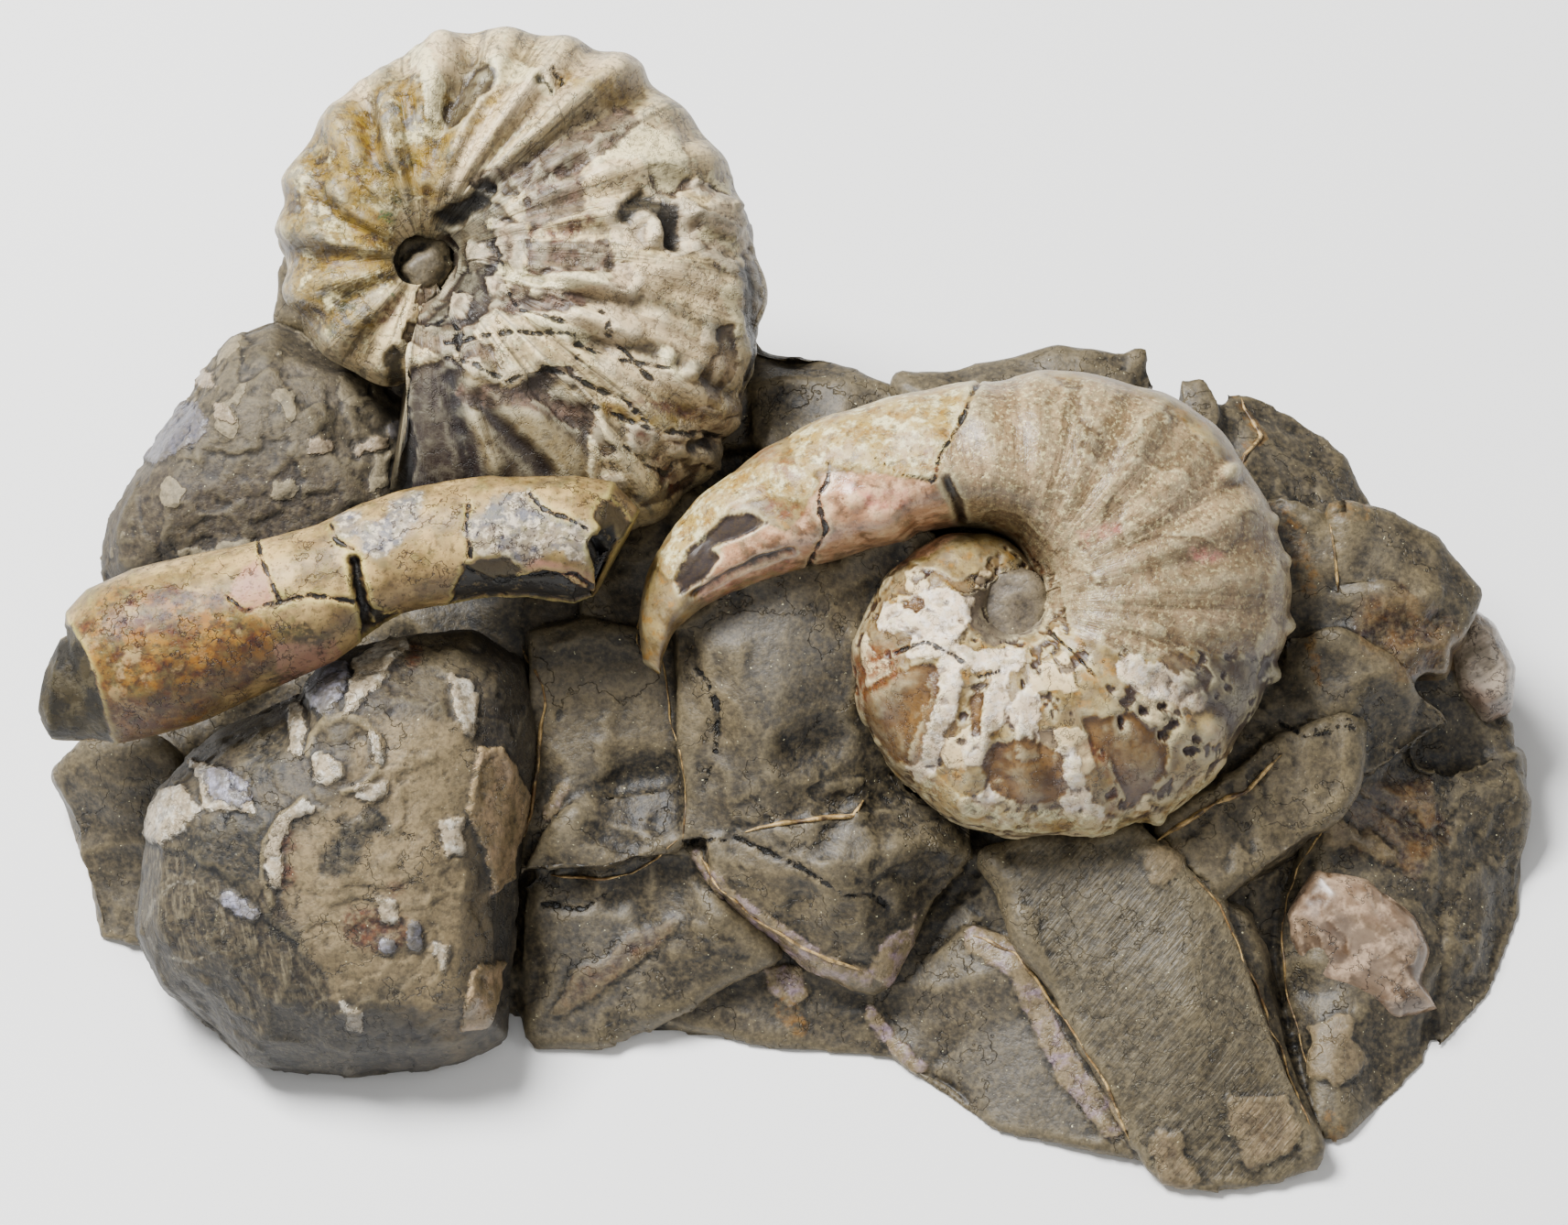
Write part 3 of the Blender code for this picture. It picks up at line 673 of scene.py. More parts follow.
    def _spread(self, detail: int) -> float:
        """How widely a cloud's noise spreads about one half, for its number of finer octaves."""
        weights = self.CLOUD_ROUGHNESS ** np.arange(detail + 1)
        return float(np.sqrt((weights**2).sum()) / weights.sum())


def triangles_in(piece: bpy.types.Object) -> int:
    """How many triangles a piece's faces make."""
    return sum(len(p.vertices) - 2 for p in piece.data.polygons)


def dress(piece: bpy.types.Object, finish: Finish, slot: str, *replaced: str) -> None:
    """Gives a piece its material and its body, and hides the parts of the model that it stands for."""
    piece.data.materials.clear()
    piece.data.materials.append(finish.build())
    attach(piece, "root")
    if replaced:
        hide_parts(*replaced)
    log.info("%s: %d triangles", piece.name, triangles_in(piece))


class Course:
    """A shell's stations on a smooth curve, at an even pace along the outer edge."""

    def __init__(self, rows: Sequence[Sequence[float]], fine: int = 24) -> None:
        """Fills in the curve between the rows."""
        table = np.array(rows, dtype=float)
        padded = np.vstack((table[:1], table, table[-1:]))
        t = np.linspace(0, 1, fine, endpoint=False)[:, None]
        pieces = []
        for p, q, r, s in zip(padded, padded[1:], padded[2:], padded[3:]):
            curve = 2 * q + (r - p) * t
            curve = curve + (2 * p - 5 * q + 4 * r - s) * t**2
            pieces.append(0.5 * (curve + (3 * q - p - 3 * r + s) * t**3))
        self.rows = np.vstack((*pieces, table[-1:]))
        self.walked = walked(self.rows[:, 2:4])
        self.length = self.walked[-1]

    def at(self, along: np.ndarray) -> np.ndarray:
        """The stations at places from 0 to 1."""
        where = along * self.length
        return np.stack([np.interp(where, self.walked, column) for column in self.rows.T], axis=1)


@dataclass
class CoiledShell:
    """An ammonite: a ribbed whorl swept round its umbilicus.

    Each row of coil gives an angle in degrees, the umbilical radius, the outer radius and half the thickness.
    Each row of hook gives the inner edge, the outer edge, half the thickness and the drop below the plane.
    ribless names the mark where the ribs are worn off.
    """

    name: str
    slot: str
    umbilicus: tuple[float, float, float]
    tilt: Point
    coil: Sequence[Sequence[float]]
    hook: Sequence[Sequence[float]]
    ribs: int
    rib_height: float
    steps: tuple[int, int]
    marks: tuple[Mark, ...]
    bumps: tuple[Bump, ...]
    finish: Finish
    flakings: tuple[Flaking, ...] = ()
    lean: float = 0.35
    ribless: str = ""
    course: Course = field(init=False)

    def __post_init__(self) -> None:
        """Works out the shell's course."""
        rows = []
        for angle, inner, outer, half in self.coil:
            c, s = math.cos(math.radians(angle)), math.sin(math.radians(angle))
            rows.append((inner * c, inner * s, outer * c, outer * s, half, 0.0))
        self.course = Course([*rows, *self.hook])

    @staticmethod
    def _turn(around: np.ndarray) -> np.ndarray:
        """The angle round the section, with more steps on the side that shows and the seam behind."""
        return -math.pi / 2 + 2 * math.pi * around + 0.42 * np.sin(2 * math.pi * around)

    def section(self, along: np.ndarray, around: np.ndarray) -> np.ndarray:
        """Face points of the smooth whorl."""
        rows = self.course.at(along)
        turn = self._turn(around)
        c, s = np.cos(turn), np.sin(turn)
        across = np.sign(c) * np.abs(c) ** 0.85
        out = np.sign(s) * np.abs(s) ** 0.8 * (1 - 0.18 * across)
        centre = (rows[:, 0:2] + rows[:, 2:4]) / 2
        reach = (rows[:, 2:4] - rows[:, 0:2]) / 2
        flat = centre + reach * across[:, None]
        local = np.column_stack((flat, rows[:, 5] + rows[:, 4] * out))
        tilt = np.array(Euler((math.radians(self.tilt[0]), math.radians(self.tilt[1]), 0)).to_matrix())
        return local @ tilt.T + np.array(self.umbilicus)

    def ribbing(self, along: np.ndarray, around: np.ndarray) -> np.ndarray:
        """The ribs' height, which grows towards the outer edge."""
        across = np.cos(self._turn(around))
        size = np.clip(self.course.at(along)[:, 4] / 9, 0, 1)
        lag = self.lean * (1 - across) ** 2 / 2
        where = np.column_stack((along * self.ribs, 0.8 * across, np.zeros(len(along))))
        wander = 0.14 * Noise.soft(where, 1.6, 71)
        rib = 0.5 - 0.5 * np.cos(2 * math.pi * (self.ribs * along + lag + wander))
        flank = smooth(across, -0.85, 0.35) * (1 - 0.55 * smooth(across, 0.8, 1.0))
        return self.rib_height * size * flank * rib * (1 + 0.3 * Noise.soft(where, 1.2, 72))

    def build(self) -> bpy.types.Object:
        """Builds and dresses the shell."""
        piece = bent_grid(f"{self.name}_shell", *self.steps, self.section)
        skin = Skin(piece)
        along, around = skin.read("along"), skin.read("around")
        skin.paint("course", along * self.course.length)
        skin.paint("girth", np.abs(self._turn(around) - math.pi / 2) * 12)
        for mark in self.marks:
            skin.draw(mark)
        ribs = self.ribbing(along, around)
        if self.ribless:
            ribs *= 1 - 0.85 * smooth(skin.read(self.ribless), -1.0, 0.5)
        skin.heights += ribs
        skin.paint("rib", ribs / self.rib_height * MARGIN)
        for flaking in self.flakings:
            skin.flake(flaking)
        for bump in self.bumps:
            skin.bump(bump)
        skin.heights += 0.12 * Noise.rough(skin.points, 2.2, 2) + 0.4 * Noise.soft(skin.points, 9, 4)
        skin.push()
        dress(piece, self.finish, self.slot, self.name)
        return piece


# Each mark's places are u and v on the face, as the photograph shows them
MAIN_MARKS = (
    Mark("sand", (
        patch(21.4, 24.9, 30.4, 25.5, 37.9, 24, 43.6, 21, 48.6, 16, 55, 7, 56.5, -1.2, 53, -5.5, 45.4, -4.2,
            37.9, -5, 34.2, -3.1, 28.1, -0.4, 27.4, 5.6, 24.4, 9.3, 19.9, 9.3, 17.2, 12.7, 17, 16.9, 19.1,
            20.6),
    ), 0.8, 3.0),
    Mark("lower", (
        patch(6, 5, 12, 6.5, 19, 3.5, 24, 7, 29, 5, 31, -2, 38, -4, 53, -5, 54, -14, 47, -21, 38, -27, 24,
            -28, 12, -21, 4, -10),
    ), 0.8, 3.0),
    Mark("chalk", (
        patch(16.5, 2.6, 20.6, 1.1, 20.2, -2.3, 18.4, -3.1, 14.6, -2.3, 9.7, -1.2, 10.1, 1.1),
        line(1.6, 18, -5.5, 17.2, -9, 16.1, -12.5, 15.4, -16.2),
        line(1.2, 24.4, -5, 23, -9, 21.6, -13, 20.8, -15),
        line(1, 26.6, -8.7, 26.6, -15.1),
        line(1, 22.9, -19.3, 20.6, -21.1),
        line(1.7, 37.9, -6.1, 42, -8, 45, -9.5),
        line(1, 30.4, -15.5, 32.3, -19.3),
        line(1, 31.2, -21.1, 35.7, -23.4),
        line(1.4, 15, -3.5, 20, -5, 25, -5.5),
    ), 1.3, 2.6, 0.15),
    Mark("window", (
        patch(12.7, -5.7, 16.9, -6.1, 17.2, -8.7, 15.3, -13.2, 14.6, -17.4, 11.6, -15.5, 9, -12.5, 9.3,
            -8.7),
        patch(22.9, -14.4, 26.6, -13.2, 30.4, -15.5, 31.2, -20, 26.6, -21.1, 22.5, -19.6, 21.7, -16.6),
        patch(33, -11.7, 37.9, -11, 41.7, -13.6, 41.7, -17.4, 37.9, -20.8, 36, -18.1, 34.2, -14.7),
        line(0.55, 21.4, -9.2, 21.2, -13),
        line(0.9, 14.2, 0.9, 13.4, 0.9),
    ), 0.8, 2.2, -0.3, 0.35),
    Mark("fill", (
        patch(20, 1.8, 23.5, 3.4, 27.8, 3.9, 28.2, 0.3, 26.9, -2, 23.2, -3.6, 20, -1.9),
    ), 0.5, 1.6, -0.2, 0.8),
    Mark("slate", (
        patch(42.8, -6.1, 47.3, -4.2, 54.5, -3.8, 55, -8.7, 54, -12.9, 49.2, -14.4, 46.6, -11, 43.6, -8.7),
    ), 0.8, 2.0),
    Mark("hole", (
        line(0.4, 39.1, -10.6, 39.1, -10.9),
        line(0.4, 41.1, -10.3, 41.4, -10.3),
        line(0.45, 42.6, -12.1, 41.9, -12.6, 41.4, -13.4),
        line(0.3, 36.8, -11.7, 36.8, -12.3),
        line(0.45, 44.1, -15.1, 44.6, -14.9),
        line(0.35, 44.7, -13.8, 45, -13.8),
    ), 0.15, 0.8, -0.8, 0.4),
    Mark("rust", (
        patch(6.5, -5, 10.1, -3.5, 12.7, -4.2, 12.7, -7.2, 9.7, -9.9, 7.5, -11),
        line(0.5, 33.4, -14.4, 36, -18.5, 35.7, -21.5),
        line(0.8, 16.1, 17.2, 16.6, 14.5),
        line(0.55, 23.6, 9, 26.6, 6.7, 28.1, 2.6),
        line(0.9, -2.2, 17.2, 1.7, 14.5),
        line(0.7, 1.7, 10.8, -1.5, 11.5),
        line(0.8, 46.8, -13.1),
    ), 0.6, 1.5),
    Mark("cream", (
        line(1.3, 16.5, -18.9, 21.4, -22.1, 26.6, -22.8, 32.7, -22.6, 37.2, -23.8, 40.6, -23.2, 44.7, -20,
            48.8, -17.4, 53, -14.4),
        patch(21.4, 25.6, 16.5, 14.6, 11.6, 15, 5.4, 16.1, 2, 14.6, 0.3, 20.5, 7.8, 23, 15.3, 25.6),
        line(1.7, -11.8, 5.5, -9.3, 10.2, -5.5, 13.4, -1.4, 14.3, 2, 14),
    ), 0.5, 2.0, 0.15),
    Mark("nacre", (
        patch(4.7, 15.2, 11.6, 15, 16.5, 13.9, 19.5, 8.6, 15.3, 6.2, 10.5, 4.2, 4.1, 5, 0.3, 4.6, 0.5, 8.6,
            3, 12),
        patch(-1.8, 9.6, 0.5, 8.4, 0.9, 5.6, -3.4, 4.1, -7.5, 2.3, -9.5, 1.2, -8.9, 3.3, -7.1, 5.9, -6.3,
            7.6, -3.4, 8.8),
    ), 0.3, 1.6),
    Mark("blush", (
        line(1, 7.3, 13.3, 10.3, 12, 12.9, 12.3),
        line(0.6, -8.4, 1.9, -4.4, 3.4, 0.4, 5.2),
        line(0.7, 36, 9, 33, 8.3),
        line(0.6, 45, 6.3, 47, 6.2),
    ), 0.5, 1.6),
    Mark("mud", (
        patch(-4.2, 10.8, -1.8, 9.8, -4.6, 8.4, -6.7, 7.6, -8.1, 7, -7.1, 5.9, -8.9, 3.3, -11.4, 2.1, -11.9,
            3.4, -10.8, 6.2, -8.5, 8.6, -6.3, 10.4),
    ), 0.25, 1.2, -0.45, 0.4),
    Mark("groove", (
        line(0.35, -9.7, 1.9, -6.3, 3.9, -2.2, 5.7, 0.9, 6.4),
        line(0.45, 17.8, 14.5, 18.9, 11.8, 19.4, 10.1),
    ), 0.15, 1.2, -0.7, 0.7),
    Mark("crack", (
        line(0.14, 21.4, 24.9, 19.1, 20.4, 17, 16.9, 16.5, 14.6),
        line(0.14, 5, 16.3, 4.7, 14.3, 3.8, 12.9, 4, 10.6, 4.7, 8.8, 3.7, 6.8, 2.7, 4.9),
        line(0.12, 10.2, 16.6, 12.7, 15.1, 16.2, 14.4),
        line(0.1, 28.4, -1.6, 31.5, -4.3, 34, -7),
        line(0.12, 12, -4.4, 15.4, -3.2, 18.5, -4.7, 21.5, -7, 23.7, -6.4),
    ), 0.25, 1.5, -0.35, 0.3),
)
MAIN_BUMPS = (
    Bump((48.7, 15.3), 1.5, 0.9),
    Bump((53.8, 10.2), 1.4, 0.8),
    Bump((55.7, 5.9), 1.7, 1.4),
    Bump((55.9, -1.5), 1.8, 1.7),
    Bump((53.8, -7.0), 1.8, 1.3),
    Bump((53.4, -13.2), 1.6, 1.3),
    Bump((46.8, -12.7), 2.4, 0.7),
    Bump((40.8, -22.6), 1.5, 0.9),
    Bump((11.2, 9.5), 3.2, 0.7),
    Bump((13.5, 7.6), 1.6, 0.5),
    Bump((7.6, 12.3), 1.8, 0.4),
)
UPPER_MARKS = (
    Mark("gold", (
        patch(-46.7, 56.5, -40, 49, -40.5, 46, -42.7, 41, -42, 38, -45, 31.5, -51.5, 30, -54, 35, -54.6,
            42.8, -52.5, 51),
        patch(-45, 57, -41, 58.5, -36, 56.5, -35, 49, -41, 44),
    ), 0.9, 3.0),
    Mark("ochre", (
        patch(-50.4, 39.1, -44.9, 38.7, -44.9, 35.8, -50.5, 36.5),
        patch(-49, 54, -45.5, 54, -44, 47, -47, 45.5, -49.5, 49),
        patch(-48.5, 44, -43, 43.8, -42.5, 40, -47, 39.6),
        line(1.1, -36.3, 52.5, -33.5, 53.6, -31.5, 55.2),
        line(1.2, -39, 50, -38.5, 45.5),
        line(0.8, -24.5, 57.2, -17.9, 56.8),
        line(0.9, -19.5, 22.3, -12, 21.5, -5.6, 23),
    ), 0.8, 2.0),
    Mark("stein", (
        patch(-41, 26.6, -36.8, 28, -34, 26.2, -30, 24.9, -26, 26.4, -22.5, 24.5, -20.6, 22.4, -21.4, 18.6,
            -21.7, 13, -42, 13, -42.5, 20),
    ), 0.4, 2.0, -0.5, 0.5),
    Mark("fold", (
        line(1.8, -37, 48, -32, 53.5, -25, 57.5, -17, 59),
        line(1.5, -43, 50, -41, 56, -37, 61),
        line(1.3, -47.5, 46.5, -48.5, 52, -46.5, 57),
        line(1.2, -50.5, 42, -53, 46.5),
        line(1.2, -49.8, 33.5, -54, 35),
        line(1.5, -20, 49, -13, 51.5),
        line(1.5, -24, 36, -12, 36.5, -5, 33),
        line(1.3, -26, 32.5, -14, 31, -6, 26.5),
        line(1.2, -19, 27, -12, 25, -6.5, 21),
    ), 0.5, 3.0, 0.8, 2.6),
    # Painted shade in the valleys under the broad folds
    Mark("valley", (
        line(1.6, -31, 46.4, -24.3, 51.4, -16.5, 56),
        line(0.9, -39.5, 49, -37.5, 55, -34, 60),
        line(0.8, -45, 48, -45.2, 54, -43, 59),
        line(0.8, -49.5, 44.5, -51, 49),
        line(0.8, -51, 38.5, -55, 40),
        line(0.9, -24, 34.6, -14, 33.8, -6, 30),
        line(0.8, -22, 29.6, -13, 28.2, -7, 24),
    ), 0.5, 2.4, -0.6, 2.0),
    Mark("ridge", (
        line(1.9, -33, 25.7, -27.8, 21, -23.2, 15.6),
        line(0.9, -33.8, 21.4, -31.6, 15.9),
        line(0.8, -24, 25, -21.5, 22),
    ), 0.5, 2.6, 0.9, 3.0),
    # Painted shade in the gullies beside the ridge
    Mark("gully", (
        line(0.9, -33.5, 23.3, -29.4, 18.9, -26.1, 15.5),
        line(0.9, -36.4, 25.8, -35.2, 19, -34.4, 14),
    ), 0.4, 2.0, -0.5, 1.6),
    # Painted shade along the shell's left and right edges
    Mark("edge", (
        line(1, -42.4, 28.5, -42, 20, -41.6, 12),
        line(0.8, -4.6, 37, -3.4, 30, -3.6, 24, -5.4, 18),
    ), 0.6, 2.0, -0.5, 0.8),
    # Painted shadow in the crevices right of the umbilicus
    Mark("loose", (
        patch(-38, 43.5, -34, 46, -30.5, 44.5, -30, 40, -30.5, 36, -32.5, 33, -36, 31, -39.5, 32, -37, 37),
    ), 0.6, 2.0, -0.5, 0.8),
    Mark("pale", (
        patch(-31.8, 42.9, -28, 42, -28.3, 39.1, -29.1, 37.2, -31.8, 39.1),
        patch(-35, 40.6, -32.9, 40.4, -32.6, 38.2, -34.9, 37.6),
        patch(-32.9, 36.9, -30.4, 37, -30.2, 34.8, -32.4, 34.5),
        patch(-36.6, 35.5, -34.6, 35, -35, 32.6, -37, 33),
        line(1.6, -15.8, 19.2),
        line(1.2, -8.1, 17.4),
        line(1.3, -18.8, 14.1),
        line(0.8, -12.1, 17.7),
        line(0.7, -9.9, 46.5, -5.9, 44.2),
        line(0.7, -9.9, 43.1, -5.9, 41.3),
        line(0.7, -9.6, 39.8, -6.2, 37.6),
    ), 0.35, 1.2, 0.6, 0.5),
    Mark("sparkle", (
        line(0.7, -43.4, 43.1),
        line(0.4, -43, 34.4),
    ), 0.4, 1.0),
    Mark("purple", (
        patch(-41, 26, -36, 27.5, -35, 23, -32, 17, -33, 13, -42, 13),
    ), 0.8, 3.0),
    Mark("white", (
        patch(-21, 52.3, -16, 53, -12, 51.5, -11, 47.5, -14, 46, -16.5, 49, -21.5, 48),
        line(0.6, -27.9, 46.6, -22.4, 47.6),
        line(0.8, -31, 37.6, -27, 36, -20, 36.5),
        line(0.7, -32, 42.3, -28.5, 41.6),
        line(0.9, -33.5, 58, -30, 58.6, -26, 57),
        line(0.5, -29, 33, -24.4, 30.8, -22, 29.8),
        line(0.7, -13.3, 28.2, -12.2, 26),
        line(0.8, -40.5, 61.5, -38.5, 58.5, -38, 54),
        line(0.6, -10.3, 47.9, -6.8, 46.5),
        line(0.6, -9, 41.5, -6, 40),
        line(0.6, -7, 35.5, -5, 31),
    ), 1.1, 2.4, 0.18),
    Mark("dull", (
        patch(-29.8, 47.9, -24.3, 52, -17, 55.7, -16, 53, -21.8, 48.4, -22.4, 46.8, -27.5, 45.6),
        patch(-28.4, 45.5, -22, 46.6, -21.8, 43.6, -27.5, 41.5),
        patch(-28.4, 40.8, -18.5, 40.8, -18.8, 37, -28, 36.6),
        line(1, -29.5, 33.6, -22.5, 34),
        line(1.1, -34.5, 23.8, -28, 23.4, -22, 21.5),
    ), 0.7, 2.0, -0.2),
    Mark("scar", (
        line(1.5, -32.9, 58, -35.9, 54.4),
    ), 0.3, 1.5, -0.6, 0.7),
    # Painted shade in the umbilicus and the pits
    Mark("pit", (
        line(2.3, -40.1, 38.4),
        line(1, -37.3, 42.4, -34, 44.6, -32.6, 46.4),
        line(1.1, -17.4, 43.4, -15.6, 45, -13, 43.4, -12.2, 40.6),
        line(0.7, -10.2, 18.2, -8, 18.6),
        line(0.35, -26.9, 57.1),
    ), 0.3, 1.2, -1.1, 0.9),
    Mark("crack", (
        line(0.16, -36.8, 29.6, -30, 30.6, -22.8, 30.3),
        line(0.14, -22.8, 30.3, -22.6, 27),
        line(0.16, -36.8, 28, -33.5, 27, -30.2, 25.1, -26.1, 26.6, -22.8, 25.8, -20.6, 24.4, -17.7, 23.3,
            -15.4, 21),
        line(0.12, -39.5, 31.5, -37, 33, -35.4, 31, -35.6, 28.6),
        line(0.14, -31.6, 40, -30.5, 36, -29, 33, -24, 31.6),
        line(0.12, -20, 33, -19.2, 30, -17, 28.2, -14.5, 25.2),
        line(0.12, -22, 29, -18, 27.6, -12, 26.6),
        line(0.12, -20.6, 22.4, -15, 20.2, -9, 19.6, -6.3, 18.9),
        line(0.12, -17.8, 18.5, -15.5, 16.5, -12.8, 15, -11.6, 17.2),
        line(0.1, -25.4, 58.1, -24.4, 57.2, -25.4, 56.3, -26.3, 57.2),
    ), 0.35, 1.4, -0.4, 0.35),
    Mark("rust", (
        line(0.7, -42.5, 34, -43.8, 32.4),
        line(0.6, -16.5, 23.2, -10, 21.6, -5.5, 22.4),
        line(0.8, -14, 16.5, -12, 13.5),
        line(0.5, -17, 20, -12, 19.1, -7.5, 20.6),
        line(0.5, -29, 41.6, -24.5, 41.1, -21.5, 43),
    ), 0.6, 1.5),
    Mark("plate", (
        patch(-37, 46, -31, 48.5, -22, 50, -12, 48, -3, 44, -2.5, 24, -8, 14, -16, 12, -22, 20, -36.8, 27.5,
            -42, 30, -40, 35),
    ), 0.6, 2.5),
)
UPPER_BUMPS = (
    Bump((-10.8, 26.6), 1.5, 1.6),
    Bump((-12.9, 28.0), 1.2, 0.7),
    Bump((-14.2, 41.2), 1.9, 2.1),
    Bump((-38.6, 37.8), 1.7, 1.3),
    Bump((-27, 38.9), 2.6, 0.5),
    Bump((-33.5, 38.5), 1.5, 0.6),
)
BACULITE_MARKS = (
    Mark("plug", (
        patch(-84, -16, -84, -1, -77.9, -1.6, -76.8, -3.4, -75.3, -7, -74.3, -11.1, -73.3, -14.5, -74, -18),
    ), 0.2, 1.2, -0.3, 0.4),
    Mark("rust", (
        patch(-77, -1.5, -73, 2.4, -66, 3, -60, 2.4, -55.2, -0.5, -56, -7, -64, -11.6, -70,
            -14.6, -76, -14),
    ), 1.8, 4.0),
    Mark("pink", (
        patch(-60.8, 1.7, -59, 5, -57.2, 5.6, -55.1, 1.4, -58.2, 0.1),
        patch(-55.7, -3.4, -49, -3, -48.3, -6, -55, -8.5),
        line(1, -27, 5, -21, 3),
    ), 0.3, 1.5),
    Mark("soot", (
        line(1.3, -54.2, -1.6, -51.2, -2.8),
        line(0.5, -69.2, 2.5, -68.5, 2.3),
        line(0.9, -55.6, -7.6, -53, -7),
        line(0.8, -26, 2.3, -23, 1.6),
        line(0.7, -34, 3, -32, 1.6),
        line(0.9, -19.6, 5.6, -18.4, 3.4),
    ), 1.0, 1.4),
    Mark("steel", (
        patch(-34.2, 10, -31.5, 12.3, -27.8, 13, -26, 11, -20.9, 9.1, -20, 5.9, -21, 4.4, -25, 6.8, -28.5,
            5, -31, 5.9, -34.2, 5.9),
        patch(-49, 8, -48.5, 10.6, -43.6, 10.6, -43, 7.5),
        line(1.6, -44.5, 8, -41, 11.5),
    ), 1.0, 2.2),
    Mark("olive", (
        patch(-34.5, 5, -33.1, 5.8, -30.1, 5.7, -28.3, 4.3, -31, 3.4, -33.8, 4.3),
        line(1.5, -19.2, 10.6, -17, 7.4, -16.2, 3),
    ), 0.5, 1.5, -0.3, 0.5),
    # The shell's underside: painted shadow, with brown grains on it
    Mark("under", (
        patch(-35, 5, -31.9, 3.4, -25.7, 4.4, -21, 2.1, -19.6, 0, -24, -3, -44, -3, -45.2, 0.2, -42.8, -0.4,
            -36.5, 0.8),
        patch(-20, 8.8, -18.4, 9.6, -16.8, 5.6, -18.2, 1.8, -20.2, 2.6, -19.2, 5.6),
    ), 0.5, 1.4, -0.7, 0.6),
    # Painted shade in the sunk gaps
    Mark("gap", (
        line(0.55, -47, 5.6, -46.6, 3.4, -45.9, 1, -45.2, -1.4, -45.4, -6),
        line(1, -20.2, 7.4, -19.2, 4.6, -19.4, 2.2),
    ), 0.2, 1.2, -1.6, 0.7),
    Mark("crack", (
        line(0.14, -57.6, 8.6, -56.9, 5.2, -55.1, 1.4),
        line(0.1, -60.8, 1.7, -59, 0.1, -55.1, 1.1, -52.1, 1.9, -48.8, 1.5, -46.5, 1),
        line(0.14, -34.5, 11.9, -34.7, 9.1, -34.2, 5.9),
        line(0.12, -27.8, 13, -26.2, 11.2, -23.9, 10.5, -21.4, 9.1),
        line(0.14, -47.2, 7, -49.1, 8, -49.4, 9.4),
        line(0.14, -34.5, 4.6, -31, 2.8, -26, 3.8, -22.8, 4.1, -20.8, 2.6),
    ), 0.25, 1.4, -0.35, 0.3),
)
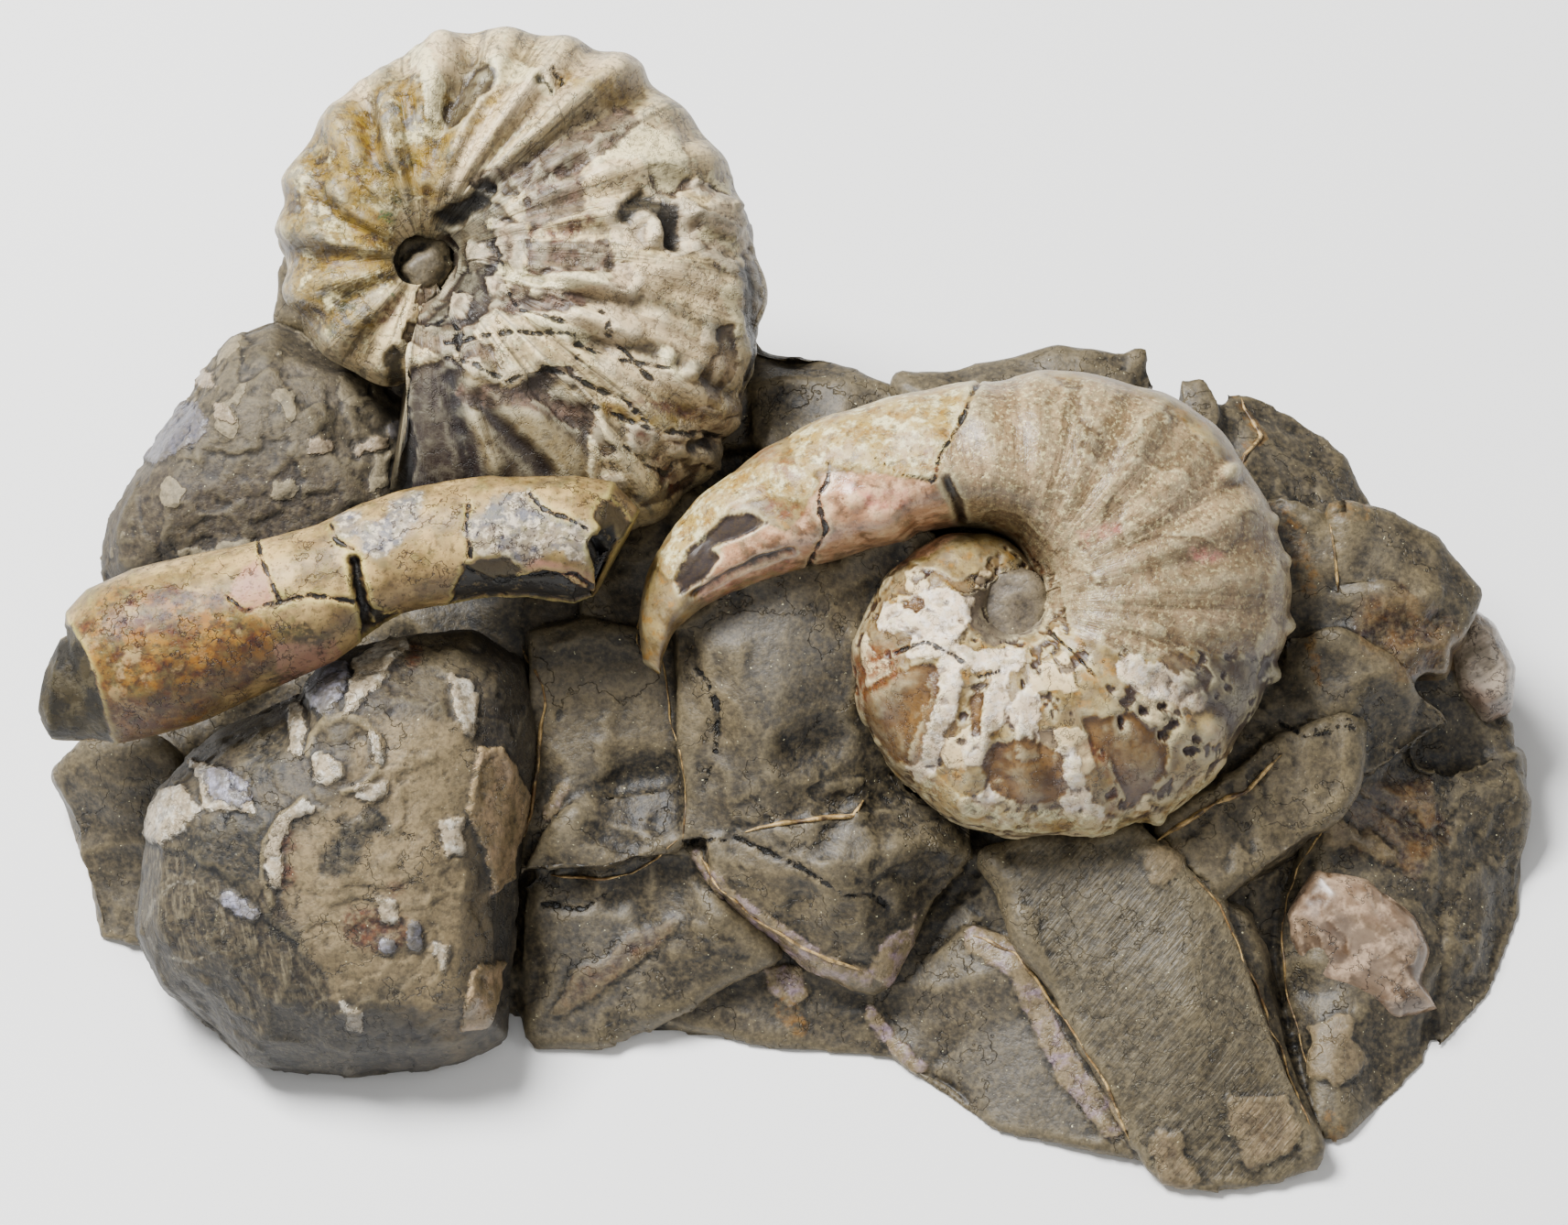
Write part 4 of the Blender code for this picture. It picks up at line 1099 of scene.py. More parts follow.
WORN_MARKS = (
    Mark("flake", (
        patch(-67.6, -19.7, -65.6, -19, -63.9, -21.4, -65.2, -23.4, -67.6, -25.5, -69.7, -24.8, -69, -21.4),
        patch(-47, -5.5, -43.2, -3, -41.5, -3, -40.8, -4.5, -42.5, -5.5, -44.2, -8.6, -48, -11.6, -47.3, -9),
        patch(-36.7, -6.9, -34.2, -7.6, -33.2, -9, -33.9, -13.8, -35.3, -13.1, -36.3, -9),
        patch(-51.5, -15.9, -50.4, -15.4, -48, -16.6, -48, -17.9, -49.7, -19.1, -51.3, -18.6),
        patch(-53.9, -10.6, -52.4, -10.2, -52, -13, -52.6, -15.8, -54, -15.2),
        patch(-46.6, -18.6, -43.4, -18.6, -43.2, -19.8, -45, -20.8, -46.8, -20.2),
        patch(-45.2, -13.4, -44, -13.6, -43.8, -16.8, -45, -16.4),
        patch(-52.4, -20.6, -51, -21.2, -53.8, -23, -55, -26, -54.8, -30, -56.4, -29.6, -56.8, -26, -55.2,
            -22.4),
        patch(-44.6, -31, -42.6, -31.6, -42.2, -34, -43.8, -33.8),
        patch(-48.2, -42.6, -46.2, -43.4, -46, -45.6, -47.8, -45.2),
        patch(-64.5, -16.4, -60.8, -17.2, -60.6, -19.4, -58.4, -19.6, -58, -21.8, -63.6, -21.2),
        patch(-37.6, -23, -35, -22.4, -35.2, -26, -37, -26.6),
        patch(-38.6, -36, -36.6, -36.4, -37.4, -39.4),
    ), 0.45, 1.2, 0.35, 0.3),
    Mark("blueflake", (
        patch(-52.2, -7.6, -50.4, -5.7, -47.7, -5.4, -47.3, -6.6, -47.7, -9, -49.4, -11.6, -51.1, -10.4),
        patch(-63.5, -17.6, -61.4, -16.7, -59, -18.3, -58, -20, -59.4, -21.4, -62.5, -20.3),
        line(0.6, -56, -10, -53.5, -9.4),
        line(0.8, -61, -31.4, -58.2, -33),
        line(0.9, -43.4, -36.5),
        line(0.8, -40.6, -34.4, -40.2, -36.4),
    ), 0.3, 1.6, 0.35, 0.35),
    Mark("tanflake", (
        patch(-33.4, -14.8, -30.8, -14.5, -29.1, -17.9, -27.7, -21.7, -30.1, -26.9, -30.1, -29, -32.2,
            -30.7, -33.2, -26.2, -34.6, -21.7, -33.9, -17.3),
        patch(-34.9, -40.3, -33.6, -38.3, -30.1, -38.3, -30.1, -41, -32.5, -44.8, -35.3, -45.1),
    ), 0.3, 1.6, 0.45, 0.35),
    Mark("ring", (
        line(0.3, -51.9, -15.5, -51.2, -13.6, -49.8, -12.2, -47.8, -11.6, -45.8, -12.2, -44.4, -13.8, -44.1,
            -15.6, -44.6, -17.5, -46, -19, -48, -19.6),
        line(0.25, -52.4, -20.4, -54.8, -22, -56.8, -25, -57, -29, -56, -32),
    ), 0.15, 1.4, 0.35, 0.5),
    Mark("tan", (
        patch(-46, -12, -34, -12, -33.5, -30, -34.5, -37, -40, -40, -50, -42, -54, -34, -54, -24, -48,
            -20.5),
        patch(-41, -27, -31.5, -30, -31, -38, -36, -47, -42, -43),
    ), 1.2, 3.0),
    Mark("ground", (
        patch(-72.5, -24, -66, -26, -60, -29.5, -56, -34, -50, -40, -47.6, -45, -48, -53, -74, -53),
    ), 0.8, 3.0, -0.25, 0.6),
    Mark("umber", (
        patch(-66.5, -23.8, -60.4, -21.4, -55.9, -21.4, -55.9, -24.1, -56.7, -29.6, -60.5, -30.6, -65.5,
            -28.5),
        patch(-60, -15.5, -54.5, -13, -54.5, -17.5, -57.5, -19),
        line(2, -48.5, -27, -46.5, -24),
        patch(-33.2, -31.7, -30.5, -31, -29.6, -34.8, -29.8, -37.6, -32.2, -37.6, -31.8, -34.8),
        line(1, -55.6, -34.8, -53.5, -35.4),
        line(1.2, -46, -47.2, -45.4, -49),
        line(0.9, -57, -48, -53, -50),
        line(0.7, -62.8, -33.1, -62.4, -34.6),
        line(1.2, -45.3, -22.4, -44, -23.4),
    ), 0.7, 2.0),
    Mark("rust", (
        line(1, -54.6, -24.6, -54.2, -25.4),
        line(0.8, -54.2, -28, -54.6, -29.2),
        line(1.8, -44.4, -33.8, -42.6, -34.6),
        line(1.7, -46.6, -33.6, -45.6, -35.4),
        line(0.8, -42.2, -30),
        line(0.8, -40.3, -4.6, -40.6, -5.8),
    ), 0.6, 1.3),
    Mark("scratch", (
        line(0.1, -69.4, -33.8, -68.4, -31, -66.4, -29.4, -64, -29.6, -61.9, -31.6, -61.2, -34.4, -62.4,
            -37.2, -65.2, -38.4, -68, -37.6, -69.2, -35.4),
        line(0.08, -66.6, -38.6, -64.4, -41.6, -62.2, -45, -60.8, -49),
        line(0.08, -60.4, -44, -61.4, -41, -60.6, -38.6, -58.4, -38.4),
        line(0.08, -55, -38.4, -51.5, -42, -49.6, -46),
    ), 0.1, 1.5),
)
REAR_MARKS = (
    Mark("blueflake", (
        line(2.5, -68.6, 19, -65.4, 20.6),
        line(1, -42.1, 20.1),
    ), 0.3, 1.6, 0.3, 0.5),
    Mark("flake", (
        patch(-66.5, 28, -63.6, 27.2, -61.6, 24.4, -64.2, 24.6),
        patch(-62.8, 23.4, -61, 22.8, -59.8, 20.6, -62, 21),
        patch(-77, 9.4, -75, 9, -75, 4.6, -77, 4.6),
        patch(-52, 18.8, -49.2, 18.6, -48.6, 17.2, -51.6, 17.4),
        patch(-47.2, 18.4, -43, 19.2, -42.8, 17.8, -46.8, 17),
    ), 0.7, 1.6, 0.25, 0.3),
    Mark("umber", (
        patch(-75, 14, -64, 15.5, -56, 16.5, -46, 15, -40, 13.5, -40, 6, -56, 1, -76, -3, -78, 6),
    ), 1.2, 3.0),
)
NACRE_MARKS = (
    Mark("blush", (
        line(1.6, 57, -32, 63, -31, 69, -34),
        line(1.2, 58, -39, 65, -42),
    ), 0.8, 2.0),
)
EDGE_MARKS = (
    Mark("blush", (
        line(1.2, 75.6, -9, 79, -11),
    ), 0.8, 2.0),
)
ROCK_MARKS = (
    Mark("crack", (
        line(0.16, -10.1, -5.7, -8.2, -7.5, -7.1, -10.1, -7.5, -15.3, -9, -19.5),
        line(0.12, -11, -25, -6.8, -24.9, -5.2, -24.4),
        line(0.12, -26.7, -32, -22, -32.6, -19.8, -31),
        line(0.14, -4.6, -24.9, 2, -28, 6, -30.5, 9, -30.4, 11, -31.8),
        line(0.12, 54, -12, 57, -13.5, 62, -12.8),
    ), 0.25, 1.6, -0.5, 0.4),
    Mark("smooth", (
        patch(-5, 2, 2, 1, 7.5, -4, 8, -13, 4, -14, -2, -13, -4, -7),
        line(2.4, -27, -7, -15, -7, -13, -12),
        patch(24, -44, 29, -41, 36, -53, 33, -57, 24, -56, 16, -50),
        patch(-25, -33, -17, -32, -14, -37, -22, -46, -27, -46),
    ), 1.0, 3.0),
    Mark("tan", (
        patch(-4.6, -24.9, -0.1, -27.5, 7.3, -30.1, 9.5, -37.5, 4.7, -37.1, -3.8, -32.3, -7.5, -28.6),
        patch(-11.9, -5.3, -5, -5, -4.5, -13.8, -8, -15, -11.5, -13),
        patch(2.8, 4.7, 9.1, 4, 9, -4.2, 6, -3, 4, 1),
        patch(-28, -4, -12, -4, -12, -15, -19, -16, -26, -17),
        patch(42, -22, 54, -14, 63, -14, 61, -23, 53, -30, 44, -28.5),
        line(2.5, 46, -24, 58, -18),
        line(2.5, 56, 3, 60, 8),
        line(2.5, 66, -5, 70, 3),
    ), 1.4, 3.0),
    # A sunk hollow, with painted shade in it
    Mark("hollow", (
        patch(-20.8, -19.7, -17.5, -16.8, -13.1, -16.2, -11.2, -19, -12, -23.4, -16.8, -26.4, -21.6, -25.3),
        line(2, 5, -14, 1, -15.5),
    ), 0.8, 3.0, -1.3, 3.5),
    Mark("lens", (
        patch(-25.3, -43.8, -22.7, -39, -19.3, -37.5, -17.1, -35.3, -11.6, -33.4, -13.4, -36.4, -18.6,
            -40.1, -24.2, -44.1),
    ), 0.3, 2.0, 0.5, 0.6),
    Mark("fill", (
        patch(20, 2.4, 23.5, 5, 28.2, 4.4, 29, 0.3, 26.9, -3, 23.2, -4.6, 19.4, -2.5),
    ), 0.4, 1.6),
    Mark("pebble", (
        patch(-41.6, 37.4, -40.2, 39.2, -38.2, 39.6, -37.3, 37.8, -38.4, 35.9, -40, 35.4),
    ), 0.25, 1.2, 1.4, 1.0),
    # Painted shade in the upper ammonite's umbilicus, in crevices and under the straight shell
    Mark("dark", (
        patch(-45, 38.4, -43, 42.5, -39.5, 43.5, -35, 41.5, -34.5, 37, -38, 33.5, -43, 34),
        patch(-29, -1, -13, -1.5, -13, -5, -28, -5.5),
        patch(-47, 3, -27, 4.5, -26, -3, -34, -4.5, -42, -6, -48, -5),
        line(2, 2, -17, 8, -19),
        line(2.2, 0, -42, 9, -44),
        line(1.6, -12, -42, -14, -46),
        line(2.2, 14, -31, 19, -27),
        line(1.5, 60, -27, 56, -38, 57, -50),
        line(2, 9.5, -15, 8.5, -20),
    ), 1.4, 3.0),
    Mark("nacre", (
        patch(8.8, -39, 10.2, -35.3, 13.9, -34.2, 14.3, -32.7, 13.2, -37.5, 11, -40.8),
        line(0.7, -9, -26.4, -6.8, -30.5, -3.1, -33.4, 1, -36, 4.7, -37.9, 8.8, -39.3),
        line(1.5, 21.5, -36, 26, -38.8, 28.5, -45, 31.5, -50.5, 36, -56),
        patch(-2.3, -38.6, 1.8, -38.6, 2.6, -42, 0.6, -43, -1.6, -41),
        line(0.9, 9.6, -44, 12, -47, 14.5, -49.6),
        line(0.6, -24.2, -19.2, -25.4, -22),
    ), 0.35, 1.6, 0.3, 0.4),
    Mark("chip", (
        patch(48.5, -52.5, 54.5, -53, 56.5, -57, 51.5, -61, 49, -57),
        patch(41, -56, 43.5, -57.5, 45.5, -62, 42, -62.5, 40.3, -59),
        patch(38.5, -25.5, 43.5, -24.8, 44, -28, 40.5, -29.5),
        patch(57.5, -45.5, 61.5, -44.5, 63.5, -49, 60, -52.5, 57.8, -50),
        line(1.2, 60.5, -24, 66, -26.5),
    ), 1.1, 2.6, 0.5, 0.5),
    Mark("bronze", (
        patch(62.3, 1.5, 67, 2.8, 73.3, -1, 73, -6.5, 67, -7.1, 62.5, -4),
        patch(61.5, -20, 66, -17.5, 71.5, -18.5, 72.5, -25, 69, -29, 62, -26),
    ), 1.0, 2.4),
    Mark("ochre", (
        line(0.5, 49.2, 25.1, 50.3, 22.1, 52.2, 19.5, 50.3, 17.6, 49.6, 15),
        line(1, 53.9, 11.4, 56.2, 8, 57.4, 3),
        line(0.7, 57.5, -3, 58.6, -7),
        line(0.9, 1.7, -45.2, 0, -43),
        line(0.8, 60, 11, 63, 10),
        line(0.8, 59.5, -55, 60.8, -58),
    ), 0.7, 1.6),
    Mark("striae", (
        patch(24, -26, 43, -24, 52, -41, 57, -56, 57, -62, 40, -62, 37, -54, 31, -44),
    ), 1.0, 3.0),
)
ROCK_BUMPS = (
    Bump((12, -28), 5.0, 0.8),
    Bump((-16, 8), 4.0, 0.8),
)

# The finishes' colours are the surfaces' own, before the studio's light falls on them, except the coats of
# painted light and painted shade: those over shade and hollows, and those whose comments say so.
# Coats shared by several finishes
FINE_GRIT = clouds("#0a0a0a", 0.5, 0.4, 0.35, 0.45, lift=-0.05)
PALE_GRIT = clouds("#92815e", 0.7, 0.35, 0.4, 0.3, lift=0.04)
SPECKS = clouds("#f3ecbc", 0.45, -0.08, 0.08, 0.8)

# Calcareous mudstone, split by hand tools: dull, darker where it is fresh, with painted light where it faces
# up and to the left and painted shade where it faces away
MUDSTONE = Finish("split mudstone", "#3a352d", 0.5, (
    clouds("#504a3f", 12, 0.48, 0.3, 0.7),
    clouds("#17100a", 7, 0.44, 0.25, 0.8),
    stain("#241d10", "tone", 0.35, 1.2),
    stain("#464441", "smooth", 0.75, 1.4),
    stain("#5b4f3a", "tan", 0.75, 1.2),
    clouds("#7b6c4b", 1.6, 0.4, 0.3, 0.5, "tan", lift=0.08),
    # Painted light on the faces turned up and to the left
    stain("#5f5748", "dust", 0.5, 1.6),
    clouds("#0a0a0a", 14, 0.5, 0.006, 0.7, lift=-0.15, spread=Spread.VEINS),
    stain("#0a0a0a", "shade", 0.7, 1.6),
    # Painted shade in the umbilicus, the crevices and under the straight shell
    stain("#0a0a0a", "dark", 0.8, 1.2),
    stain("#6d6255", "fill", 0.85, 0.5),
    stain("#615b52", "pebble", 0.9, 0.3),
    # Painted shade in the sunk hollow
    stain("#0d0a0a", "hollow", 0.9, 1.2),
    stain("#464032", "striae", 0.75, 1.2),
    clouds("#756b55", 0.5, 0.4, 0.25, 0.6, "striae", angle=52.0, lift=0.08, spread=Spread.STREAKS),
    clouds("#231b0a", 0.9, 0.38, 0.2, 0.6, "striae", angle=48.0, lift=-0.08, spread=Spread.STREAKS),
    stain("#230a0a", "lens", 0.85, roughness=0.6),
    clouds("#562e0a", 1.8, 0.35, 0.2, 0.6, "lens"),
    stain("#260a0a", "bronze", 0.9, 0.6, roughness=0.3),
    clouds("#5f4220", 2.2, 0.42, 0.15, 0.8, "bronze"),
    stain("#5f503b", "chip", 0.9),
    clouds("#927c5c", 2, 0.42, 0.2, 0.7, "chip"),
    clouds("#3c250a", 1.6, 0.3, 0.15, 0.7, "chip"),
    stain("#877456", "nacre", 0.9, roughness=0.4, lift=0.1),
    clouds("#aa90af", 2, 0.38, 0.2, 0.6, "nacre"),
    clouds("#4b3e2b", 1.4, 0.3, 0.15, 0.7, "nacre", lift=-0.08),
    clouds("#734c0a", 1.1, 0.5, 0.2, 0.85, "ochre"),
    clouds("#5b5345", 2.2, 0.4, 0.4, 0.3, lift=0.08),
    clouds("#0a0a0a", 1.3, 0.3, 0.3, 0.35, lift=-0.08),
    stain("#837556", "ridges", 0.3, 0.7),
    # Painted shade in the hollows
    stain("#0a0a0a", "hollows", 0.8, 0.8),
    PALE_GRIT,
    FINE_GRIT,
    SPECKS,
    stain("#0a0a0a", "crack", 0.95, 0.12, lift=-0.3),
), shine=0.35)
# Calcite shell of the main ammonite, sandy and crystalline outside, chalky where it weathers
CREAM_SHELL = Finish("crystalline cream shell", "#7f6b48", 0.5, (
    clouds("#b19653", 3, 0.45, 0.25, 0.7),
    clouds("#5f460c", 2.2, 0.36, 0.15, 0.7, lift=-0.05),
    clouds("#9b6a0a", 1.6, 0.28, 0.12, 0.65),
    stain("#5f4622", "bare", 0.6, 0.2, roughness=0.4, lift=-0.08),
    clouds("#775c37", 1.3, 0.45, 0.3, 0.7, "bare"),
    clouds("#33180a", 1.8, 0.3, 0.2, 0.7, "bare"),
    stain("#f3d5a0", "lime", 0.65, 0.2, roughness=0.7, lift=0.08),
    stain("#240a0a", "pitted", 0.75, 0.2, lift=-0.1),
    stain("#866b48", "sand", 0.97, 0.4, roughness=0.4),
    clouds("#5a472b", 6, 0.45, 0.3, 0.7, "sand"),
    clouds("#b89972", 4, 0.38, 0.25, 0.6, "sand"),
    clouds("#d1b384", 2.2, 0.42, 0.25, 0.5, "sand", spread=Spread.GROWTH),
    clouds("#4b3c25", 1.4, 0.4, 0.2, 0.5, "sand", lift=-0.05, spread=Spread.GROWTH),
    clouds("#32220a", 5, 0.5, 0.012, 0.7, "lower", lift=-0.12, spread=Spread.VEINS),
    clouds("#f3e2a4", 0.5, 0.3, 0.12, 0.5, "sand", roughness=0.25, lift=0.04),
    clouds("#3c2e12", 0.6, 0.32, 0.14, 0.5, "sand", lift=-0.05),
    stain("#52422d", "worn_sand", 0.35, 0.8),
    stain("#716452", "fill", 0.9, 0.3, roughness=0.8),
    clouds("#50483e", 1.2, 0.4, 0.3, 0.6, "fill"),
    stain("#f3d9b7", "chalk", 0.85, 0.2, roughness=0.75, lift=0.08),
    clouds("#f3ebe0", 1.1, 0.4, 0.2, 0.7, "chalk", lift=0.05),
    clouds("#8e7a56", 1.7, 0.3, 0.12, 0.7, "chalk", lift=-0.08),
    stain("#5e421d", "window", 0.97, 0.15, roughness=0.4),
    clouds("#84602f", 2.4, 0.45, 0.3, 0.7, "window"),
    clouds("#40240a", 2.6, 0.33, 0.2, 0.6, "window"),
    stain("#21150a", "slate", 0.85, 1.2),
    clouds("#595148", 1.2, 0.33, 0.2, 0.6, "slate"),
    stain("#b49547", "cream", 0.75, 0.4),
    clouds("#f3ebb4", 1.8, 0.42, 0.15, 0.75, "cream", lift=0.06),
    clouds("#895e0a", 1.8, 0.4, 0.12, 0.7, "cream"),
    clouds("#4b320a", 1.1, 0.26, 0.1, 0.65, "cream", lift=-0.06),
    stain("#c69068", "nacre", 0.95, 0.3, roughness=0.28),
    clouds("#583e21", 3, 0.44, 0.15, 0.75, "nacre"),
    clouds("#f3c297", 1.6, 0.4, 0.15, 0.7, "nacre"),
    clouds("#e57f77", 1, 0.5, 0.3, 0.4, "blush", edge=0.6),
    clouds("#713a0a", 0.9, 0.6, 0.2, 0.85, "rust", edge=0.5),
    clouds("#210c0a", 0.45, 0.25, 0.15, 0.4, lift=-0.04),
    # Painted shade in the hollows
    stain("#1f0a0a", "hollows", 0.6, 0.8),
    stain("#f3e8b7", "ridges", 0.4, 0.8),
    stain("#1f0d0a", "shade", 0.5, 2.0),
    stain("#1a0a0a", "mud", 0.97, roughness=0.8),
    clouds("#38280c", 0.6, 0.4, 0.2, 0.6, "mud"),
    stain("#0c0a0a", "groove", 0.8, 0.4),
    stain("#220a0a", "hole", 0.95, 0.15),
    stain("#0a0a0a", "crack", 0.9, 0.1, lift=-0.25),
), polish=0.15)
# Shell of the upper ammonite: grey and cream layers over a brown mould, with a golden inner whorl
GREY_SHELL = Finish("weathered grey shell", "#807154", 0.5, (
    clouds("#f3d6a1", 4, 0.58, 0.2, 0.75),
    clouds("#433a23", 3, 0.34, 0.15, 0.75, lift=-0.05),
    clouds("#765e23", 5, 0.36, 0.2, 0.6),
    stain("#f3d9a2", "rib", 0.35, 1.2),
    clouds("#110a0a", 5, 0.5, 0.014, 0.75, lift=-0.12, spread=Spread.VEINS),
    clouds("#f3ebb4", 0.9, 0.28, 0.1, 0.5, lift=0.04),
    clouds("#f3d697", 1.8, 0.38, 0.15, 0.5, lift=0.06, spread=Spread.GROWTH),
    clouds("#2f230a", 1.4, 0.32, 0.12, 0.65, lift=-0.06, spread=Spread.GROWTH),
    stain("#564734", "bare", 0.85, 0.15, lift=-0.1),
    clouds("#826a52", 2.4, 0.42, 0.2, 0.7, "bare"),
    clouds("#2e200a", 1.6, 0.33, 0.15, 0.7, "bare"),
    stain("#dac29d", "lime", 0.6, 0.2, lift=0.08),
    # Painted shade in the valleys under the folds
    stain("#3e331b", "valley", 0.75, 0.9),
    stain("#f1d2a2", "fold", 0.5, 1.2),
    stain("#72632a", "gold", 0.8, 1.2),
    clouds("#7e610a", 3.6, 0.62, 0.15, 0.85, "gold"),
    clouds("#f3e5a9", 3.2, 0.3, 0.1, 0.75, "gold"),
    clouds("#22140a", 2.2, 0.3, 0.1, 0.8, "gold", lift=-0.08),
    clouds("#303614", 2.6, 0.22, 0.1, 0.7, "gold"),
    clouds("#6c6c6e", 2, 0.2, 0.1, 0.7, "gold"),
    clouds("#8f710a", 1.8, 0.66, 0.2, 0.85, "ochre", edge=0.9),
    clouds("#57340a", 1.3, 0.33, 0.15, 0.65, "ochre", edge=0.9),
    stain("#4c402b", "stein", 0.97, roughness=0.6),
    clouds("#281e0b", 3.2, 0.45, 0.3, 0.7, "stein"),
    stain("#190a14", "purple", 0.7, 1.2),
    stain("#8d7a50", "ridge", 0.8, 0.9),
    # Painted shade in the gullies
    stain("#0e0a0a", "gully", 0.8, 0.8),
    # Painted shadow in the crevices beside the umbilicus
    stain("#0a0a0a", "loose", 0.8, 0.6),
    stain("#f3e4ad", "white", 0.75),
    stain("#837159", "pale", 0.9, 0.2),
    clouds("#d2b793", 1.2, 0.4, 0.15, 0.7, "pale"),
    stain("#5d4d3c", "dull", 0.85, 0.3),
    clouds("#876a57", 1.8, 0.38, 0.15, 0.7, "dull"),
    clouds("#322512", 1.6, 0.35, 0.15, 0.7, "dull"),
    stain("#41351b", "scar", 0.95, 0.3),
    clouds("#5a250a", 0.9, 0.6, 0.2, 0.85, "rust", edge=0.5),
    clouds("#15591e", 0.5, 0.5, 0.2, 0.8, "sparkle"),
    clouds("#1f0f0a", 0.6, 0.34, 0.15, 0.5, lift=-0.05),
    stain("#f3ebc6", "ridges", 0.25, 0.9),
    # Painted shade in the hollows
    stain("#140a0a", "hollows", 0.5, 0.8),
    stain("#190a0a", "shade", 0.5, 2.0),
    # Painted shade along the shell's edges
    stain("#0a0a0a", "edge", 0.9, 0.5),
    # Painted shade in the umbilicus and the pits
    stain("#0a0a0a", "pit", 0.9, 0.5),
    stain("#0a0a0a", "crack", 0.9, 0.12, lift=-0.25),
), polish=0.05)
# Shell of the straight ammonite: tan calcite stained by iron at its thick end
HONEY_SHELL = Finish("iron-stained tan shell", "#8e7246", 0.5, (
    clouds("#d7b272", 4, 0.46, 0.25, 0.7),
    clouds("#5a451a", 3.2, 0.38, 0.2, 0.7),
    clouds("#3e3b36", 3.8, 0.25, 0.2, 0.5),
    clouds("#483717", 1, 0.25, 0.12, 0.5, lift=-0.05),
    stain("#5e3d0a", "rust", 0.97, 1.2),
    clouds("#4b180a", 3.6, 0.52, 0.2, 0.85, "rust"),
    clouds("#99630a", 2.2, 0.38, 0.2, 0.7, "rust"),
    clouds("#2d0a0a", 1.6, 0.36, 0.12, 0.85, "rust"),
    clouds("#b29466", 2.6, 0.2, 0.12, 0.6, "rust"),
    stain("#ae7a63", "pink", 0.85, 0.3),
    stain("#7a726a", "steel", 0.75, 0.8),
    clouds("#515668", 2.2, 0.45, 0.2, 0.75, "steel"),
    clouds("#f3e1c5", 1, 0.36, 0.15, 0.6, "steel", lift=0.04),
    clouds("#0a0a0a", 0.7, 0.6, 0.2, 0.85, "soot", edge=0.7),
    clouds("#110a0a", 0.5, 0.24, 0.12, 0.5, lift=-0.05),
    stain("#f3e782", "ridges", 0.3, 0.8),
    clouds("#1f0a0a", 9, 0.5, 0.007, 0.75, lift=-0.12, spread=Spread.VEINS),
    # Painted shade in the hollows
    stain("#110a0a", "hollows", 0.65, 0.8),
    stain("#1f0a0a", "shade", 0.6, 2.0),
    stain("#302715", "olive", 0.9, roughness=0.6),
    stain("#2b2410", "plug", 0.97, roughness=0.7),
    clouds("#4d4531", 1.8, 0.36, 0.15, 0.6, "plug", lift=0.1),
    clouds("#0a0a0a", 3, 0.45, 0.12, 0.7, "plug", lift=-0.1),
    # Painted shadow on the underside, with brown grains over it
    stain("#0a0a0a", "under", 0.95, 0.3),
    clouds("#56492e", 1.1, 0.22, 0.1, 0.8, "under", lift=0.08),
    # Painted shade in the sunk gaps
    stain("#0a0a0a", "gap", 0.95, 0.3),
    stain("#0a0a0a", "crack", 0.9, 0.1, lift=-0.2),
), polish=0.04, shine=0.35)
# Internal mould of mudstone that filled a shell, ground smooth, with flakes of nacre left on it
WORN_MOULD = Finish("ground mudstone mould", "#3f3627", 0.6, (
    clouds("#675b43", 9, 0.42, 0.2, 0.7),
    clouds("#170a0a", 9, 0.42, 0.2, 0.8),
    stain("#8e7a55", "tan", 0.8, 1.4),
    clouds("#322816", 6, 0.3, 0.25, 0.55, "tan"),
    clouds("#927e5d", 3, 0.42, 0.3, 0.5, "tan"),
    stain("#1f170f", "ground", 0.95, 0.8),
    clouds("#7a7058", 0.5, 0.36, 0.2, 0.6, "ground", angle=-80.0, lift=0.05, spread=Spread.STREAKS),
    stain("#0a0a0a", "umber", 0.95, 0.6),
    clouds("#56270a", 1, 0.65, 0.2, 0.9, "rust", edge=0.5),
    clouds("#300a0a", 0.8, 0.4, 0.15, 0.8, "rust"),
    stain("#877754", "ring", 0.8),
    stain("#8f8979", "scratch", 0.6, 0.12),
    clouds("#0a0a0a", 9, 0.5, 0.008, 0.7, lift=-0.15, spread=Spread.VEINS),
    stain("#bcaa8e", "flake", 0.95, 0.1, roughness=0.35, lift=0.15),
    clouds("#f3eddd", 1.8, 0.42, 0.15, 0.7, "flake"),
    clouds("#5b5344", 1.4, 0.28, 0.12, 0.7, "flake", lift=-0.08),
    stain("#69686f", "blueflake", 0.95, 0.1, roughness=0.35, lift=0.15),
    clouds("#b7b7d0", 1.4, 0.4, 0.2, 0.7, "blueflake"),
    stain("#b29669", "tanflake", 0.95, 0.1, roughness=0.35, lift=0.15),
    clouds("#eac295", 2.6, 0.42, 0.25, 0.7, "tanflake"),
    clouds("#0a0a0a", 1, 0.3, 0.2, 0.45, lift=-0.08),
    PALE_GRIT,
    FINE_GRIT,
    SPECKS,
    stain("#6f654a", "ridges", 0.3, 0.9),
    # Painted shade in the hollows
    stain("#0a0a0a", "hollows", 0.7, 0.8),
    stain("#0a0a0a", "shade", 0.6, 2.0),
), shine=0.45)
